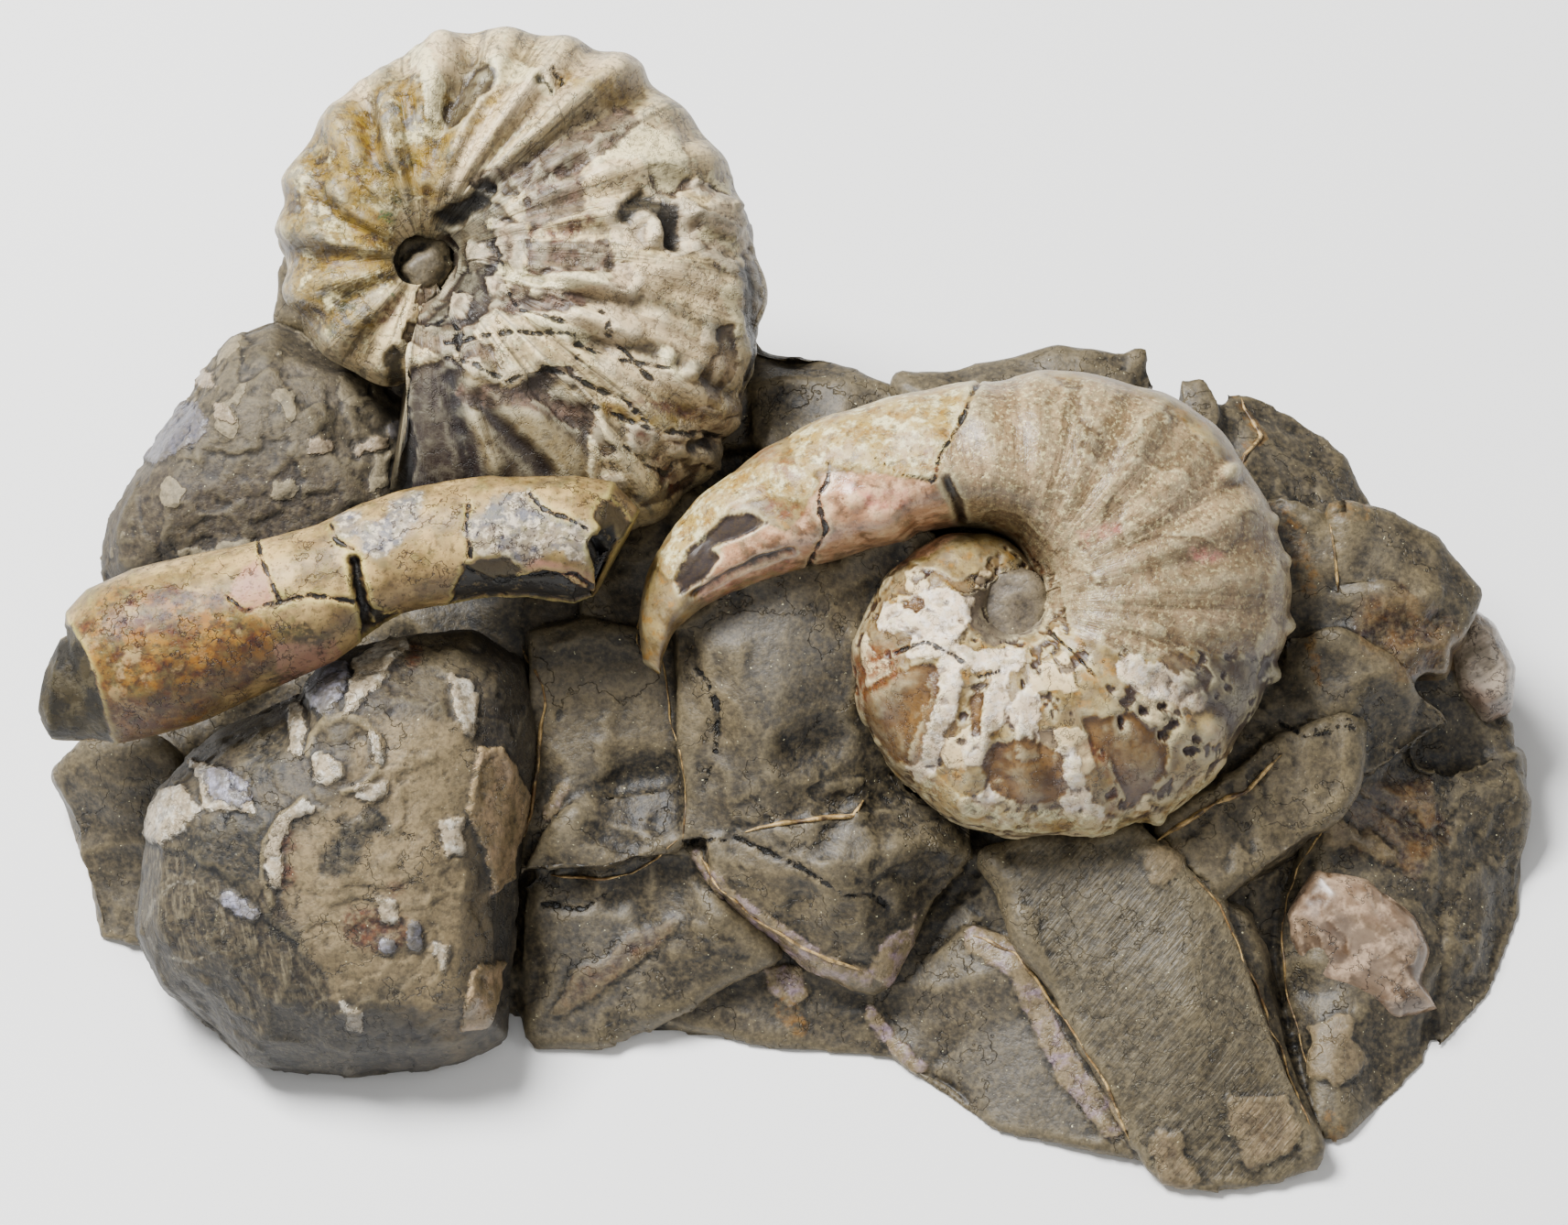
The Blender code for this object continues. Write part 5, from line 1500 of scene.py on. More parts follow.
# Mould of a shell's flank: dull above, purple-brown below, with scraps of shell
REAR_MOULD = Finish("brown shell mould", "#4c4436", 0.65, (
    clouds("#6d6355", 6, 0.48, 0.25, 0.7),
    clouds("#281f11", 4, 0.38, 0.2, 0.7),
    stain("#5f5542", "crust", 0.6, 0.3, lift=0.06),
    stain("#1f100a", "umber", 0.65, 1.5),
    clouds("#3f3527", 2.2, 0.4, 0.2, 0.6, "umber", lift=0.06),
    stain("#9a8d71", "lime", 0.8, 0.12, lift=0.1),
    stain("#b6a186", "flake", 0.9, 0.15, roughness=0.4, lift=0.15),
    stain("#676672", "blueflake", 0.9, 0.2, roughness=0.4, lift=0.15),
    clouds("#0a0a0a", 1, 0.3, 0.2, 0.45, lift=-0.08),
    PALE_GRIT,
    FINE_GRIT,
    SPECKS,
    stain("#6f654a", "ridges", 0.3, 0.9),
    # Painted shade in the hollows
    stain("#0a0a0a", "hollows", 0.7, 0.8),
    stain("#0a0a0a", "shade", 0.6, 2.0),
), shine=0.45)
# Mother-of-pearl, split and stained tan
PINK_NACRE = Finish("tan mother-of-pearl", "#524132", 0.35, (
    clouds("#7a6550", 5, 0.48, 0.2, 0.8),
    clouds("#402e18", 2.4, 0.4, 0.25, 0.65, angle=-28.0, lift=-0.03, spread=Spread.STREAKS),
    clouds("#826752", 3, 0.5, 0.2, 0.5, "blush", edge=0.8),
    clouds("#ddbc9b", 3, 0.3, 0.2, 0.6),
    clouds("#492e0a", 3.2, 0.28, 0.15, 0.6),
    clouds("#0a0a0a", 7, 0.5, 0.01, 0.7, lift=-0.1, spread=Spread.VEINS),
    stain("#eacdac", "ridges", 0.25, 0.8),
    # Painted shade in the hollows
    stain("#0a0a0a", "hollows", 0.5, 0.8),
), polish=0.25)
WHITE_NACRE = Finish("pale mother-of-pearl", "#918471", 0.35, (
    clouds("#e6d0b7", 3.4, 0.48, 0.25, 0.8),
    clouds("#5b503f", 2.4, 0.34, 0.2, 0.7, angle=30.0, lift=-0.06, spread=Spread.STREAKS),
    stain("#b28972", "blush", 0.35, 0.8),
    clouds("#22150a", 0.8, 0.24, 0.1, 0.5, lift=-0.06),
    clouds("#1f0f0a", 5, 0.5, 0.012, 0.7, lift=-0.1, spread=Spread.VEINS),
    stain("#0a0a0a", "shade", 0.5, 2.0),
), polish=0.25)
# Edges of thin shell that stand out of the rock, seen end on: ochre to cream
SHELL_RIM = Finish("shell edge", "#8e7443", 0.5, (
    clouds("#e3bf7f", 2.6, 0.45, 0.2, 0.8),
    clouds("#5a390a", 3, 0.42, 0.2, 0.85),
    clouds("#24140a", 1.4, 0.4, 0.15, 0.8),
))


@dataclass
class StraightShell:
    """The straight shell: rings of radius across the face and through it along a slightly bent axis."""

    stations: Sequence[Sequence[float]]
    steps: tuple[int, int]
    name: str = "baculite"
    slot: str = "honey_shell"

    def section(self, along: np.ndarray, around: np.ndarray) -> np.ndarray:
        """Face points of the shell's surface."""
        table = np.array(self.stations, dtype=float)
        marks = walked(table[:, :2])
        where = along * marks[-1]
        u, v, w, across, through = (np.interp(where, marks, c) for c in table.T)
        du, dv = (np.interp(where, marks, c) for c in np.gradient(table[:, :2], marks, axis=0).T)
        size = np.hypot(du, dv)
        turn = -math.pi / 2 + 2 * math.pi * around
        c, s = np.cos(turn), np.sin(turn)
        return np.column_stack((u - dv / size * across * c, v + du / size * across * c, w + through * s))

    def build(self) -> bpy.types.Object:
        """Builds and dresses the shell."""
        piece = bent_grid(f"{self.name}_shell", *self.steps, self.section)
        skin = Skin(piece)
        for mark in BACULITE_MARKS:
            skin.draw(mark)
        skin.heights += 0.1 * Noise.rough(skin.points, 3, 21) + 0.3 * Noise.soft(skin.points, 11, 22)
        skin.heights += 0.5 * smooth(skin.read("plug"), -0.2, 0.5) * Noise.rough(skin.points, 5, 23)
        skin.push()
        dress(piece, HONEY_SHELL, self.slot, self.name)
        return piece


@dataclass
class Dome:
    """A mould or a scrap of shell: an outline on the face, carried through levels of scale and height."""

    name: str
    slot: str
    outline: Stroke
    levels: Sequence[Point]
    voxel: float
    marks: tuple[Mark, ...]
    finish: Finish
    waves: tuple[float, float]
    flakings: tuple[Flaking, ...] = ()

    def build(self) -> bpy.types.Object:
        """Builds and dresses the dome."""
        bm = bmesh.new()
        corners = np.array(self.outline.points)
        middle = np.mean(corners, axis=0)
        face = bm.faces.new([bm.verts.new((u, v, 0)) for u, v in corners])
        for number, (scale, height) in enumerate(self.levels):
            if number:
                old = face
                grown = bmesh.ops.extrude_face_region(bm, geom=[face])["geom"]
                face = next(g for g in grown if isinstance(g, bmesh.types.BMFace))
                if number > 1:
                    bmesh.ops.delete(bm, geom=[old], context="FACES_ONLY")
            for vert, spot in zip(face.verts, corners):
                vert.co = (*(middle + (spot - middle) * scale), height)
        for vert in bm.verts:
            vert.co = Face.to_world(np.array(vert.co)[None])[0]
        cut_at_ground(bm)
        piece = remeshed(finished(f"{self.name}_surface", bm), self.voxel, 14)
        skin = Skin(piece)
        for mark in self.marks:
            skin.draw(mark)
        for flaking in self.flakings:
            skin.flake(flaking)
        broad, fine = self.waves
        skin.heights += broad * Noise.soft(skin.points, 10, 31) + fine * Noise.rough(skin.points, 3, 32)
        skin.heights += 0.5 * broad * Noise.terraces(skin.points, 9, 0.7, 33)
        skin.flatten_foot()
        skin.push()
        dress(piece, self.finish, self.slot, self.name)
        return piece


@dataclass
class Concretion:
    """The mudstone: masses behind the face and broken blocks on it, in one skin."""

    masses: dict[str, tuple[float, Sequence[Point], Sequence[Sequence[float]]]]
    blocks: dict[str, tuple[float, Sequence[Sequence[float]]]]
    voxel: float = 0.6
    taper: float = 0.86
    lean: float = 0.6
    lean_span: float = 40.0
    bulge: tuple[float, float, float] = (-8.0, 9.0, 1.05)
    triangles: int = 190_000

    def build(self) -> bpy.types.Object:
        """Builds and dresses the rock."""
        bm = bmesh.new()
        for foot_height, foot, under_face in self.masses.values():
            self._hull(bm, self._mass_points(foot_height, foot, under_face))
        for depth, rim in self.blocks.values():
            self._hull(bm, self._block_points(depth, rim))
        piece = remeshed(finished("matrix_rock", bm), self.voxel, 2)
        skin = Skin(piece)
        for mark in ROCK_MARKS:
            skin.draw(mark)
        for bump in ROCK_BUMPS:
            skin.bump(bump)
        self._break_up(skin)
        skin.push()
        self._thin_out(piece, skin)
        dress(piece, MUDSTONE, "mudstone", "matrix")
        return piece

    def _mass_points(self, foot_height: float, foot: Sequence[Point], under: Sequence) -> np.ndarray:
        """World places of a mass's corners."""
        from_y, height, swell = self.bulge
        world = [(x, y, foot_height) for x, y in foot]
        world += [(x * swell, y * swell, height) for x, y in foot if y > from_y]
        # The construction stands its foot on the ground before it slides the whole level
        slide = np.array((Face.ORIGIN[0], Face.ORIGIN[1], 0.0))
        return np.vstack(((np.array(world) + slide) * MM, Face.to_world(np.array(under, dtype=float))))

    def _block_points(self, depth: float, rim: Sequence[Sequence[float]]) -> np.ndarray:
        """World places of a block's corners."""
        front = np.array(rim, dtype=float)
        middle = front.mean(axis=0)
        back = middle + (front - middle) * self.taper
        back[:, 1] -= min(max(middle[1] / self.lean_span, 0), self.lean) * depth
        back[:, 2] = front[:, 2] - depth
        return Face.to_world(np.vstack((front, back)))

    @staticmethod
    def _hull(bm: bmesh.types.BMesh, places: np.ndarray) -> None:
        """Adds the convex hull of the places, cut off at the ground."""
        part = bmesh.new()
        for place in places:
            part.verts.new(place)
        made = bmesh.ops.convex_hull(part, input=part.verts)
        unused = made["geom_interior"] + made["geom_unused"]
        loose = {g for g in unused if isinstance(g, bmesh.types.BMVert)}
        bmesh.ops.delete(part, geom=list(loose), context="VERTS")
        cut_at_ground(part)
        bmesh.ops.recalc_face_normals(part, faces=part.faces)
        carrier = bpy.data.meshes.new("hull")
        part.to_mesh(carrier)
        part.free()
        bm.from_mesh(carrier)
        bpy.data.meshes.remove(carrier)

    @staticmethod
    def _break_up(skin: Skin) -> None:
        """Gives the rock its scoops, ridges and grit, and leaves the ground flat."""
        calm = 1 - 0.7 * smooth(np.maximum(skin.read("smooth"), skin.read("striae")), -1.0, 1.0)
        bent = Noise.warped(skin.points, 12.0, 3.0, 51)
        skin.heights += calm * (2.6 * Noise.ridged(bent, 17, 43) + 0.8 * Noise.ridged(bent, 6, 44))
        skin.heights -= calm * 1.6 * np.maximum(Noise.soft(bent, 8, 47) - 0.3, 0)
        split = smooth(Noise.soft(skin.points, 12, 53), 0.0, 0.3)
        skin.heights += calm * split * Noise.terraces(bent, 9, 0.4, 46)
        grit = 0.12 * Noise.rough(skin.points, 2.4, 42)
        skin.heights += 0.8 * Noise.soft(skin.points, 15, 41) + calm * grit
        skin.paint("tone", 5 * Noise.soft(bent, 16, 43))
        skin.flatten_foot()

    def _thin_out(self, piece: bpy.types.Object, skin: Skin) -> None:
        """Thins the mesh, mostly where it faces away from the camera."""
        total = triangles_in(piece)
        away = smooth(-skin.normals[:, 2], -0.15, 0.4)
        group = piece.vertex_groups.new(name="away")
        for step in range(11):
            members = np.flatnonzero(np.round(away * 10) == step)
            if step and len(members):
                group.add(members.tolist(), step / 10, "REPLACE")
        thin = piece.modifiers.new("thin", "DECIMATE")
        thin.ratio = min(1.0, self.triangles / total)
        thin.vertex_group = "away"
        thin.vertex_group_factor = 1.0
        settled(piece)
        piece.vertex_groups.clear()
        log.info("matrix thinned from %d triangles", total)


MAIN = CoiledShell(
    name="main_ammonite",
    slot="cream_shell",
    umbilicus=(23.8, 0.4, 0.0),
    tilt=(-4.0, 7.0),
    coil=(
        (50, 1.0, 6.0, 4.0), (88, 1.1, 7.5, 4.8), (110, 1.2, 8.8, 5.3), (138, 1.3, 10.8, 6.2),
        (170, 1.4, 13.8, 7.4),
        (200, 1.6, 17.4, 8.8), (235, 1.8, 20.8, 9.8), (270, 2.0, 25.0, 10.8), (315, 2.2, 29.0, 11.6),
        (360, 2.6, 31.5, 12.0), (400, 4.2, 30.8, 12.0), (430, 6.2, 27.2, 12.0), (450, 8.2, 24.7, 12.0),
    ),
    hook=(
        (-5.0, 9.0, -8.5, 23.5, 11.5, 0.0), (-11.0, 7.6, -16.0, 21.7, 10.5, -0.4),
        (-17.0, 5.6, -23.5, 18.5, 9.5, -1.0), (-23.5, 4.0, -30.5, 14.0, 8.0, -2.0),
        (-30.5, 1.5, -35.0, 9.5, 6.5, -3.0), (-35.0, -1.5, -38.3, 4.0, 5.0, -3.6),
        (-36.7, -4.7, -39.2, -0.7, 3.5, -4.0), (-37.0, -7.0, -39.0, -5.5, 2.0, -4.4),
    ),
    ribs=26,
    rib_height=0.5,
    steps=(520, 120),
    marks=MAIN_MARKS,
    bumps=MAIN_BUMPS,
    finish=CREAM_SHELL,
    flakings=(
        Flaking("bare", 7.0, 0.36, -0.15, "lower-window"),
        Flaking("lime", 3.6, 0.16, 0.12, "lower-window"),
        Flaking("worn_sand", 6.0, 0.35, -0.12, "sand"),
        Flaking("pitted", 1.6, 0.1, -0.25, "lower-window"),
    ),
)
UPPER = CoiledShell(
    name="upper_ammonite",
    slot="grey_shell",
    umbilicus=(-39.9, 38.4, -10.0),
    tilt=(-7.0, 4.0),
    coil=(
        (300, 1.2, 10.0, 4.5), (278, 1.2, 12.0, 5.3), (257, 1.2, 13.2, 6.0), (240, 1.2, 13.8, 6.5),
        (219, 1.2, 14.4, 7.0), (198, 1.2, 14.5, 7.4), (180, 1.2, 15.0, 7.8), (164, 1.2, 16.0, 8.2),
        (136, 1.3, 17.9, 9.0), (112, 1.4, 20.5, 9.8), (90, 1.6, 24.2, 10.8), (67, 1.8, 27.6, 11.6),
        (45, 2.0, 31.2, 12.4), (22, 2.2, 34.6, 13.2), (0, 2.4, 37.0, 13.8), (-22, 2.6, 38.3, 14.2),
        (-45, 2.8, 38.4, 14.2), (-67, 3.4, 35.0, 14.0), (-85, 4.2, 30.0, 13.5), (-98, 5.0, 25.0, 12.5),
    ),
    hook=(),
    ribs=24,
    rib_height=1.3,
    steps=(520, 120),
    marks=UPPER_MARKS,
    bumps=UPPER_BUMPS,
    finish=GREY_SHELL,
    flakings=(
        Flaking("bare", 6.0, 0.34, -0.3, "plate"),
        Flaking("lime", 6.0, 0.22, 0.2, "plate"),
    ),
    ribless="stein",
)
BACULITE = StraightShell(
    stations=(
        (-80.6, -8.2, 2.5, 3.0, 3.0), (-79.4, -8.4, 2.5, 5.4, 5.0), (-76.6, -8.2, 2.6, 5.8, 5.6),
        (-75.6, -7.9, 2.7, 6.8, 6.6), (-73.9, -6.9, 2.8, 8.0, 7.6), (-71.6, -5.5, 3.0, 8.9, 8.2),
        (-67.7, -3.9, 3.4, 9.2, 8.4), (-62.6, -2.2, 3.8, 8.7, 8.2), (-56.7, -0.2, 4.4, 7.9, 7.6),
        (-51.7, 1.6, 4.9, 7.5, 7.4), (-47.5, 3.8, 5.3, 6.6, 6.8), (-43.5, 6.0, 5.7, 6.4, 6.6),
        (-38.7, 7.2, 6.0, 6.6, 6.6), (-32.0, 8.1, 6.2, 6.6, 6.6), (-27.6, 8.1, 6.2, 6.6, 6.6),
        (-23.5, 7.8, 6.0, 7.0, 6.9), (-20.6, 7.4, 5.6, 7.1, 6.8), (-18.2, 6.2, 5.2, 5.4, 5.2),
    ),
    steps=(260, 130),
)
DOMES = (
    Dome(
        name="worn_ammonite", slot="brown_mould",
        outline=patch(-70.7, -26.1, -69.7, -20.1, -62.7, -13.1, -52.7, -9.1, -49.7, -4.1, -41.7, -2.1,
            -33.7, -1.6, -28.7, -5.1, -26.9, -13.1, -28.2, -20.1, -29.5, -29.1, -29.5, -39.1, -29.9, -47.1,
            -35.7, -49.6, -47.7, -51.1, -58.7, -50.1, -62.7, -46.1, -68.7, -41.1, -71.2, -35.1),
        levels=(
            (0.72, -20), (0.94, -13), (1.0, -7), (0.97, -2), (0.87, 3), (0.68, 7), (0.4, 9.2), (0.15, 9.6)
        ),
        voxel=0.42, marks=WORN_MARKS, finish=WORN_MOULD, waves=(0.7, 0.16),
        flakings=(Flaking("crust", 9.0, 0.42, 0.14, "-ground"),),
    ),
    Dome(
        name="rear_mould", slot="brown_mould",
        outline=patch(-56.7, 32.4, -61.7, 30.4, -65.7, 25.9, -69.7, 20.9, -73.7, 14.9, -76.2, 9.9, -76.7,
            5.9, -75.7, 2.4, -67.7, -3.1, -55.7, -3.1, -43.7, 2.9, -35.7, 10.9, -37.7, 18.9, -41.7, 24.9,
            -47.7, 28.9),
        levels=((0.8, -32), (1.0, -24), (0.96, -18), (0.8, -13), (0.5, -10), (0.2, -9.3)),
        voxel=0.45, marks=REAR_MARKS, finish=REAR_MOULD, waves=(0.7, 0.25),
        flakings=(Flaking("crust", 7.0, 0.45, 0.25), Flaking("lime", 3.4, 0.04, 0.15)),
    ),
    Dome(
        name="nacre_shell", slot="pink_nacre",
        outline=patch(55.3, -33.1, 58.3, -28.1, 64.3, -29.1, 69.8, -33.1, 71.5, -37.1, 70.3, -40.6, 72.5,
            -43.9, 67.3, -45.3, 56.3, -41.6),
        levels=((0.9, -9.0), (1.0, -7.5), (0.92, -5.6), (0.7, -4.2), (0.3, -3.4)),
        voxel=0.35, marks=NACRE_MARKS, finish=PINK_NACRE, waves=(0.4, 0.05),
    ),
    Dome(
        name="edge_shell", slot="white_nacre",
        outline=patch(73.8, -2.1, 76.3, 1.4, 79.8, -1.1, 82.1, -6.1, 81.5, -11.1, 78.3, -13.1, 74.3, -9.1),
        levels=((0.85, -28), (1.0, -23), (0.9, -19.5), (0.6, -17.5), (0.25, -17)),
        voxel=0.35, marks=EDGE_MARKS, finish=WHITE_NACRE, waves=(0.2, 0.12),
    ),
)
ROCK = Concretion(
    masses={
        "body": (
            -3.0,
            ((-66, -22), (-50, -30), (-10, -32), (20, -36), (45, -42), (62, -38), (74, -25), (78, -5),
            (76, 12),
             (66, 28), (46, 38), (18, 42), (-12, 42), (-40, 42), (-60, 36), (-72, 16), (-74, -5)),
            ((-62, -25, -14), (-45, -38, -10), (-20, -34, -10), (10, -35, -12), (40, -40, -6), (62, -35, -14),
             (72, -10, -20), (66, 8, -20), (50, 18, -20), (20, 20, -18), (-5, 20, -20), (-20, 12, -11),
             (15, 5, -8), (45, 0, -10), (-60, 5, -24), (-66, 0, -24), (-52, 24, -26), (46, 20, -30)),
        ),
        "rear_mass": (
            -6.0,
            ((-60, 10), (-58, 34), (-40, 46), (-16, 47), (2, 38), (4, 12)),
            ((-53, 28, -27), (-45, 46, -34), (-20, 46, -34), (-8, 30, -28), (-20, 14, -16), (-50, 14, -26)),
        ),
    },
    blocks={
        "centre_block": (30, (
            (-12.2, 0.9, 0), (-5.7, 4.1, 1), (1.3, 5.4, 1.5), (8.8, 4.9, 1), (9.3, -2.1, 1.5),
            (12, -12.5, -1),
            (15.5, -19.5, -2), (8.3, -21.1, 0.5), (-2.7, -23.6, 1), (-11.2, -25.1, -1), (-0.7, -9.1, 3.5))),
        "centre_wedge": (25, (
            (-8.7, -24.6, 0.5), (-2.7, -23.6, 1.5), (8.3, -21.3, 1.5), (18, -18.5, -3), (21.3, -22.6, -3),
            (19.3, -29.1, -4), (15.3, -34.1, -4), (9.8, -41.1, -5), (3.3, -38.1, -2), (-2.7, -33.6, 0),
            (-7.2, -29.6, 0), (4.3, -29.1, 3))),
        "left_panel": (25, (
            (-28.2, -2.1, -5), (-21.7, -1.1, -5), (-12.7, -2.1, -4.5), (-11.2, -9.1, -4),
            (-11.2, -27.1, -4.5),
            (-20.7, -29.1, -4), (-29.2, -28.1, -6), (-26.7, -13.1, -7))),
        "left_ridge": (12, (
            (-29.5, -28.6, -3), (-21.7, -20.1, -3.5), (-11.2, -18.1, -3), (-11.2, -25.6, -1.5),
            (-19.7, -28.6, -1))),
        "foot_panel": (20, (
            (-29.5, -29.6, -7), (-21.7, -29.1, -5), (-11.7, -27.6, -4), (-6.7, -33.1, -3), (-0.7, -37.6, -5),
            (-11.7, -39.1, -6), (-14.2, -44.1, -9), (-20.7, -48.1, -8), (-27.7, -48.1, -8),
            (-29.2, -41.1, -8))),
        "foot_recess": (15, (
            (-14.2, -39.1, -10), (0.3, -38.1, -9), (10.3, -42.1, -9), (12.8, -49.1, -7), (4.3, -48.6, -7.6),
            (-2.7, -48.1, -8), (-11.7, -45.1, -9.8))),
        "lower_block": (25, (
            (20.3, -34.6, -5), (24.8, -36.6, -4), (30.8, -44.1, -2), (36.3, -52.6, 0), (38.8, -59.6, 1),
            (32.3, -58.3, 0), (23.3, -56.8, -1.5), (13.3, -50.3, -5.5), (10.3, -47.6, -8),
            (14.3, -40.1, -7))),
        "ground_slab": (30, (
            (22.1, -26.6, -3), (27.3, -24.6, -1), (38.3, -23.6, 0), (44.3, -29.1, 1), (47.3, -32.1, 1),
            (51.3, -41.1, 2), (54.8, -50.1, 3), (57.5, -56.6, 3), (58.3, -60.3, 2.5), (53.3, -62.1, 3),
            (45.3, -62.9, 3.4), (40.3, -61.6, 3), (37.8, -55.1, 3), (32.3, -45.1, 2), (25.3, -34.1, 0),
            (44.3, -43.1, 5))),
        "slab_flank": (20, (
            (47.3, -31.6, -2), (50.3, -33.1, -3), (53.8, -41.1, -3), (55.3, -49.1, -1), (57.8, -57.1, 0.5),
            (54.3, -49.1, 0))),
        "right_facet": (25, (
            (41.3, -23.6, -2), (47.3, -19.1, -1), (54.3, -13.1, -3), (64.3, -12.1, -6), (63.3, -18.1, -5),
            (59.3, -23.1, -3), (54.3, -27.1, -1.5), (47.3, -31.1, -1), (44.3, -28.6, -2))),
        "right_block": (30, (
            (54.3, -2.1, -6), (61.3, -2.1, -5), (68.3, -7.1, -7), (74.3, -12.1, -10), (70.3, -16.1, -9),
            (64.3, -18.1, -8), (55.3, -13.1, -7))),
        "right_lump": (25, (
            (61.3, 10.9, -10), (66.3, 11.4, -12), (72.3, 7.9, -13), (77.3, 2.4, -14), (74.3, -3.1, -11),
            (70.3, 0.9, -9), (61.3, 2.9, -9))),
        "right_step": (20, (
            (60.3, 1.9, -8.5), (66.3, 2.9, -8), (73.3, -2.1, -9.5), (73.3, -7.1, -10.5), (68.3, -7.1, -8),
            (61.3, -4.1, -8))),
        "top_ledge": (30, (
            (12.3, 26.7, -14), (23.3, 28.1, -14), (34.3, 28.7, -13), (39.8, 29.1, -14), (41.8, 25.4, -13),
            (41.3, 19.9, -10), (29.3, 21.9, -8), (14.3, 19.9, -10))),
        "top_knob": (25, (
            (43.8, 26.4, -14), (46.8, 26.9, -14), (48.8, 22.9, -12), (48.3, 16.9, -9), (43.3, 18.9, -10))),
        "top_right_shoulder": (25, (
            (48.8, 24.9, -16), (54.3, 23.9, -18), (60.3, 19.9, -19), (64.3, 14.9, -18), (65.8, 10.9, -17),
            (59.3, 6.9, -10), (54.3, 4.9, -7), (51.3, 10.9, -8), (48.8, 16.9, -11))),
        "shell_seat": (20, (
            (59.3, -22.1, -8), (67.3, -16.1, -11), (73.3, -16.1, -13), (74.3, -23.1, -14), (72.3, -33.1, -14),
            (73.3, -43.1, -12), (70.3, -50.1, -6.5), (64.3, -53.1, -4.5), (61.3, -58.1, -1),
            (58.3, -57.1, -1),
            (55.3, -43.1, -8), (54.3, -34.1, -9))),
        "right_edge": (25, (
            (74.3, -17.1, -14), (79.3, -15.3, -17), (82.3, -15.6, -19), (82.8, -23.1, -20),
            (82.3, -33.1, -18),
            (78.3, -42.1, -12), (72.3, -48.1, -7.5), (71.3, -43.1, -9.5), (73.3, -33.1, -12))),
        "left_edge": (20, (
            (-81.2, -17.9, -16), (-76.7, -14.3, -14), (-70.7, -13.6, -12), (-66.7, -16.1, -10),
            (-66.7, -36.1, -13), (-70.7, -36.9, -14), (-76.2, -36.4, -15.5), (-77.9, -30.1, -16),
            (-79.7, -23.1, -17))),
        "saddle": (30, (
            (-2.7, 31.4, -18), (2.3, 31.4, -18), (4.3, 27.4, -16), (10.3, 25.4, -16), (13.3, 22.9, -14),
            (8.3, 18.9, -10), (-0.7, 14.9, -8), (-3.7, 18.9, -12))),
        "joint_fill": (15, (
            (-13, -24, -4), (-7.5, -23, -3), (-5.5, -29.5, -3), (-9, -32, -5), (-13, -28.5, -5))),
        "hook_fill": (20, (
            (6.8, 6.8, 1.5), (13, 9, 1.5), (17, 9, 0.5), (15.5, 5, 1), (10.5, 0, 1.5), (7, 1, 1.5))),
        "right_fill": (20, (
            (51, 12, -9), (55, 13.5, -9), (61.5, 8, -10.5), (62.4, 2, -9.5), (61.5, -4.5, -8), (56, -6, -7.5),
            (51, -3, -8))),
        "lower_right_fill": (20, (
            (47, -8, -8), (55, -2.5, -8), (58, -9, -6.5), (55, -15, -5), (47, -20, -4), (41, -22.8, -4.5),
            (39, -18, -7))),
        "crevice": (25, (
            (-21.7, 7.9, -8), (-9.7, 12.9, -9), (-7.7, 2.9, -6), (-15.7, -3.1, -6), (-21.7, -2.1, -6.5))),
        "upper_backing": (20, (
            (-53.0, 28.0, -19), (-53.0, 42.0, -19), (-42.0, 54.0, -20), (-26.0, 54.0, -20),
            (-10.0, 45.0, -19),
            (-2.0, 32.0, -18), (-4.0, 18.0, -14), (-30.0, 14.0, -14))),
        "upper_chip": (10, (
            (-56.9, 33.0, -23), (-56.7, 38.4, -23), (-54.7, 40.9, -22), (-48.0, 38.0, -19),
            (-50.0, 31.0, -19))),
        "main_umbilicus_fill": (22, (
            (28.6, 0.4, 5), (27.2, 3.8, 5), (23.8, 4.9, 5.5), (20.4, 3.6, 5.5), (19.0, 0.4, 5.5),
            (20.4, -3.0, 5.5), (23.8, -4.2, 5), (27.2, -3.0, 5))),
        "upper_umbilicus_fill": (24, (
            (-36.2, 38.4, -6), (-37.4, 41.0, -6), (-39.9, 41.8, -6), (-42.4, 40.6, -6), (-43.3, 38.4, -6),
            (-42.4, 36.0, -6), (-39.9, 35.2, -6), (-37.4, 36.0, -6))),
    },
)


@dataclass(frozen=True)
class Rim:
    """The edge of a thin shell that stands out of the rock: its path on the face, and its height."""

    path: Stroke
    height: float


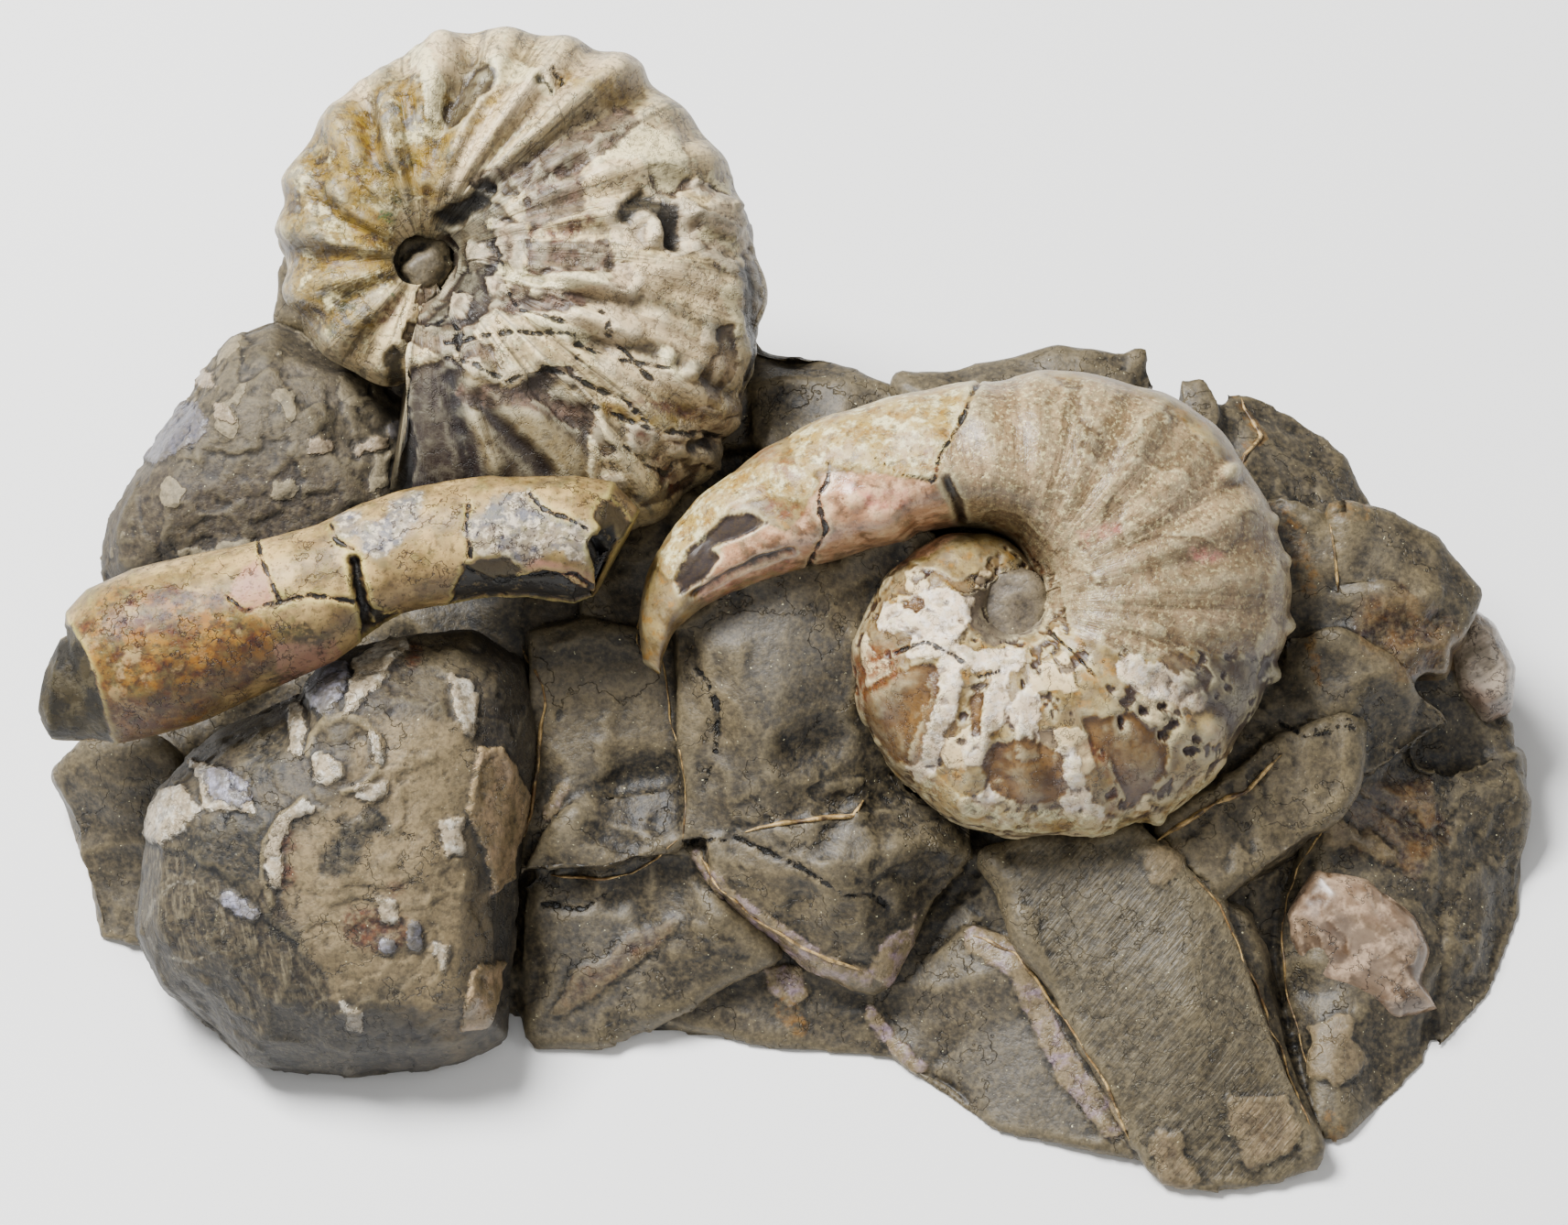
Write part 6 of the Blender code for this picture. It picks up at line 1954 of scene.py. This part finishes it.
RIMS = (
    Rim(line(0.35, -28.6, -3.5, -26.4, -7.9, -26.2, -11.6, -27.1, -16.8, -27.5, -22, -29.4, -25.6), 0.5),
    Rim(line(0.22, -13.4, -5.3, -12.3, -11.6, -11.4, -15.3, -10.7, -19, -11.2, -24.9), 0.35),
    Rim(line(0.28, -25.3, -28.8, -20.8, -29.2, -16.8, -28.6, -13.8, -26.9, -11.6, -24.9), 0.45),
    Rim(line(0.55, -4.2, -24, -0.1, -23.1, 4.3, -22.5, 7.7, -22.1, 8.8, -20.3), 0.8),
    Rim(line(0.3, -9, -26.4, -6.8, -30.5, -3.1, -33.4, 1, -36, 4.7, -37.9, 8.8, -39.3), 0.35),
    Rim(line(0.3, -13, 6.5, -14.4, 3.6, -15.6, 0.2, -15.9, -3.2, -14.9, -5.2), 0.6),
    Rim(line(0.3, 20.6, -35.4, 25.4, -37.2, 30.4, -44, 35.2, -51.6, 37.8, -58), 0.4),
    Rim(line(0.25, 44.8, -28.8, 47.8, -32.1, 51.6, -41, 55, -50, 57.6, -56.6), 0.35),
    Rim(line(0.3, 59.5, 9.5, 60.4, 5, 60.6, 2), 0.45),
    Rim(line(0.25, 59.4, -22.6, 56, -28, 54.4, -34, 55, -42, 57.4, -50), 0.35),
    Rim(line(0.5, 40.8, -25, 43.6, -22.9, 46.9, -21, 50.7, -19.3, 54.4, -15.4), 1.3),
    Rim(line(0.35, 49.3, 24.6, 50.4, 22, 52.2, 19.4, 50.4, 17.4, 49.8, 15.4), 0.5),
)


class ShellRims:
    """The thin edges of shell that line the broken blocks."""

    PACE = 0.45
    SIDES = 8
    WANDER = 0.3

    def __init__(self, rock: bpy.types.Object) -> None:
        """Takes the rock that the rims stand on."""
        faces = [tuple(p.vertices) for p in rock.data.polygons]
        self.tree = BVHTree.FromPolygons(face_points(rock.data).tolist(), faces)

    def _grounded(self, spot: np.ndarray) -> np.ndarray | None:
        """The point of the rock that the camera sees at a spot of the face."""
        eye = Vector((0, 0, Face.CAMERA_HEIGHT))
        hit = self.tree.ray_cast(eye, Vector((*spot, 0)) - eye)[0]
        return None if hit is None else np.array(hit)

    def build(self) -> bpy.types.Object:
        """Builds and dresses all the rims as one piece."""
        bm = bmesh.new()
        for number, rim in enumerate(RIMS):
            self._add(bm, rim, number)
        piece = finished("shell_rims", bm)
        dress(piece, SHELL_RIM, "cream_shell")
        return piece

    def _add(self, bm: bmesh.types.BMesh, rim: Rim, number: int) -> None:
        """Adds one rim: a flattened ring extruded along its path."""
        ends = np.array(rim.path.points, dtype=float)
        marks = walked(ends)
        places = np.arange(0, marks[-1], self.PACE)
        path = np.stack([np.interp(places, marks, c) for c in ends.T], axis=1)
        where = np.column_stack((path, np.full(len(path), float(number))))
        path = path + self.WANDER * np.stack([Noise.soft(where, 2.4, k) for k in (61, 62)], axis=1)
        stood = [g for g in (self._grounded(p) for p in path) if g is not None]
        depth = np.array([g[2] for g in stood])
        if len(depth) > 5:
            depth = np.convolve(np.pad(depth, 2, mode="edge"), np.ones(5) / 5, mode="valid")
        sizes = 0.7 + 0.45 * Noise.soft(np.array(stood), 1.8, 63)
        ring = list(bmesh.ops.create_circle(bm, cap_ends=True, segments=self.SIDES, radius=1)["verts"])
        for step, (spot, w, size) in enumerate(zip(stood, depth, sizes)):
            if step:
                near = [f for f in ring[0].link_faces if len(f.verts) == self.SIDES]
                face = next(f for f in near if all(v in f.verts for v in ring))
                grown = bmesh.ops.extrude_face_region(bm, geom=[face])["geom"]
                fresh = {g for g in grown if isinstance(g, bmesh.types.BMVert)}
                ring = [next(e.other_vert(v) for e in v.link_edges if e.other_vert(v) in fresh) for v in ring]
                if step > 1:
                    bmesh.ops.delete(bm, geom=[face], context="FACES_ONLY")
            last = len(stood) - 1
            along = stood[min(step + 1, last)][:2] - stood[max(step - 1, 0)][:2]
            side = np.array((-along[1], along[0])) / max(np.linalg.norm(along), 1e-6)
            taper = min(1.0, 0.25 + step / 4, 0.25 + (last - step) / 4)
            for k, vert in enumerate(ring):
                angle = 2 * math.pi * k / self.SIDES
                across = side * math.cos(angle) * rim.path.radius * size * taper / 1.4
                up = math.sin(angle) * rim.height * size * taper
                point = np.array((spot[0] + across[0], spot[1] + across[1], w + up))
                vert.co = Face.to_world(point[None])[0]


class Studio:
    """Camera, lights and floor."""

    def build(self) -> None:
        """Sets up the studio."""
        self._camera()
        self._floor()
        self._light("key", (-330, 500, 470), size=320, power=17.5)
        self._light("fill", (-100, -200, 800), size=600, power=1.6)
        self._light("side", (600, 200, 420), size=420, power=1.2)
        world = bpy.data.worlds.new("studio")
        bpy.context.scene.world = world
        world.use_nodes = True
        backdrop = world.node_tree.nodes["Background"]
        backdrop.inputs["Color"].default_value = linear("#ffffff")
        backdrop.inputs["Strength"].default_value = 0.24

    @staticmethod
    def _camera() -> None:
        """Looks straight at the prepared face, as the photograph does."""
        lens = bpy.data.cameras.new("camera")
        lens.sensor_width = 36.0
        lens.sensor_fit = "HORIZONTAL"
        lens.lens = lens.sensor_width * Face.CAMERA_HEIGHT / Face.FIELD_WIDTH
        lens.clip_start = 0.05
        lens.clip_end = 20.0
        camera = bpy.data.objects.new("camera", lens)
        camera.matrix_world = Face.matrix() @ Matrix.Translation((0, 0, Face.CAMERA_HEIGHT * MM))
        bpy.context.scene.collection.objects.link(camera)
        bpy.context.scene.camera = camera

    @staticmethod
    def _light(name: str, place: tuple[float, float, float], size: float, power: float) -> None:
        """A soft square light at a place in the face frame, turned to the middle of the face."""
        lamp = bpy.data.lights.new(name, "AREA")
        lamp.size = size * MM
        lamp.energy = power
        holder = bpy.data.objects.new(name, lamp)
        spot = Vector(Face.to_world(np.array([place], dtype=float))[0])
        towards = Vector(Face.ORIGIN) * MM - spot
        holder.matrix_world = Matrix.Translation(spot) @ towards.to_track_quat("-Z", "Y").to_matrix().to_4x4()
        bpy.context.scene.collection.objects.link(holder)

    @staticmethod
    def _floor() -> None:
        """A wide pale floor."""
        bm = bmesh.new()
        bmesh.ops.create_grid(bm, x_segments=2, y_segments=2, size=6.0)
        floor = finished("floor", bm, shade_smooth=False)
        paper = bpy.data.materials.new("white paper")
        paper.use_nodes = True
        shader = paper.node_tree.nodes["Principled BSDF"]
        shader.inputs["Base Color"].default_value = linear("#f7f7f6")
        shader.inputs["Roughness"].default_value = 0.9
        floor.data.materials.append(paper)


def main() -> None:
    """Builds the studio and each piece of the cluster, in order."""
    logging.basicConfig(level=logging.INFO, format="%(name)s: %(message)s")
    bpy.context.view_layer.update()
    Studio().build()
    rock = ROCK.build()
    ShellRims(rock).build()
    MAIN.build()
    UPPER.build()
    BACULITE.build()
    for dome in DOMES:
        dome.build()


if __name__ == "__main__":
    main()
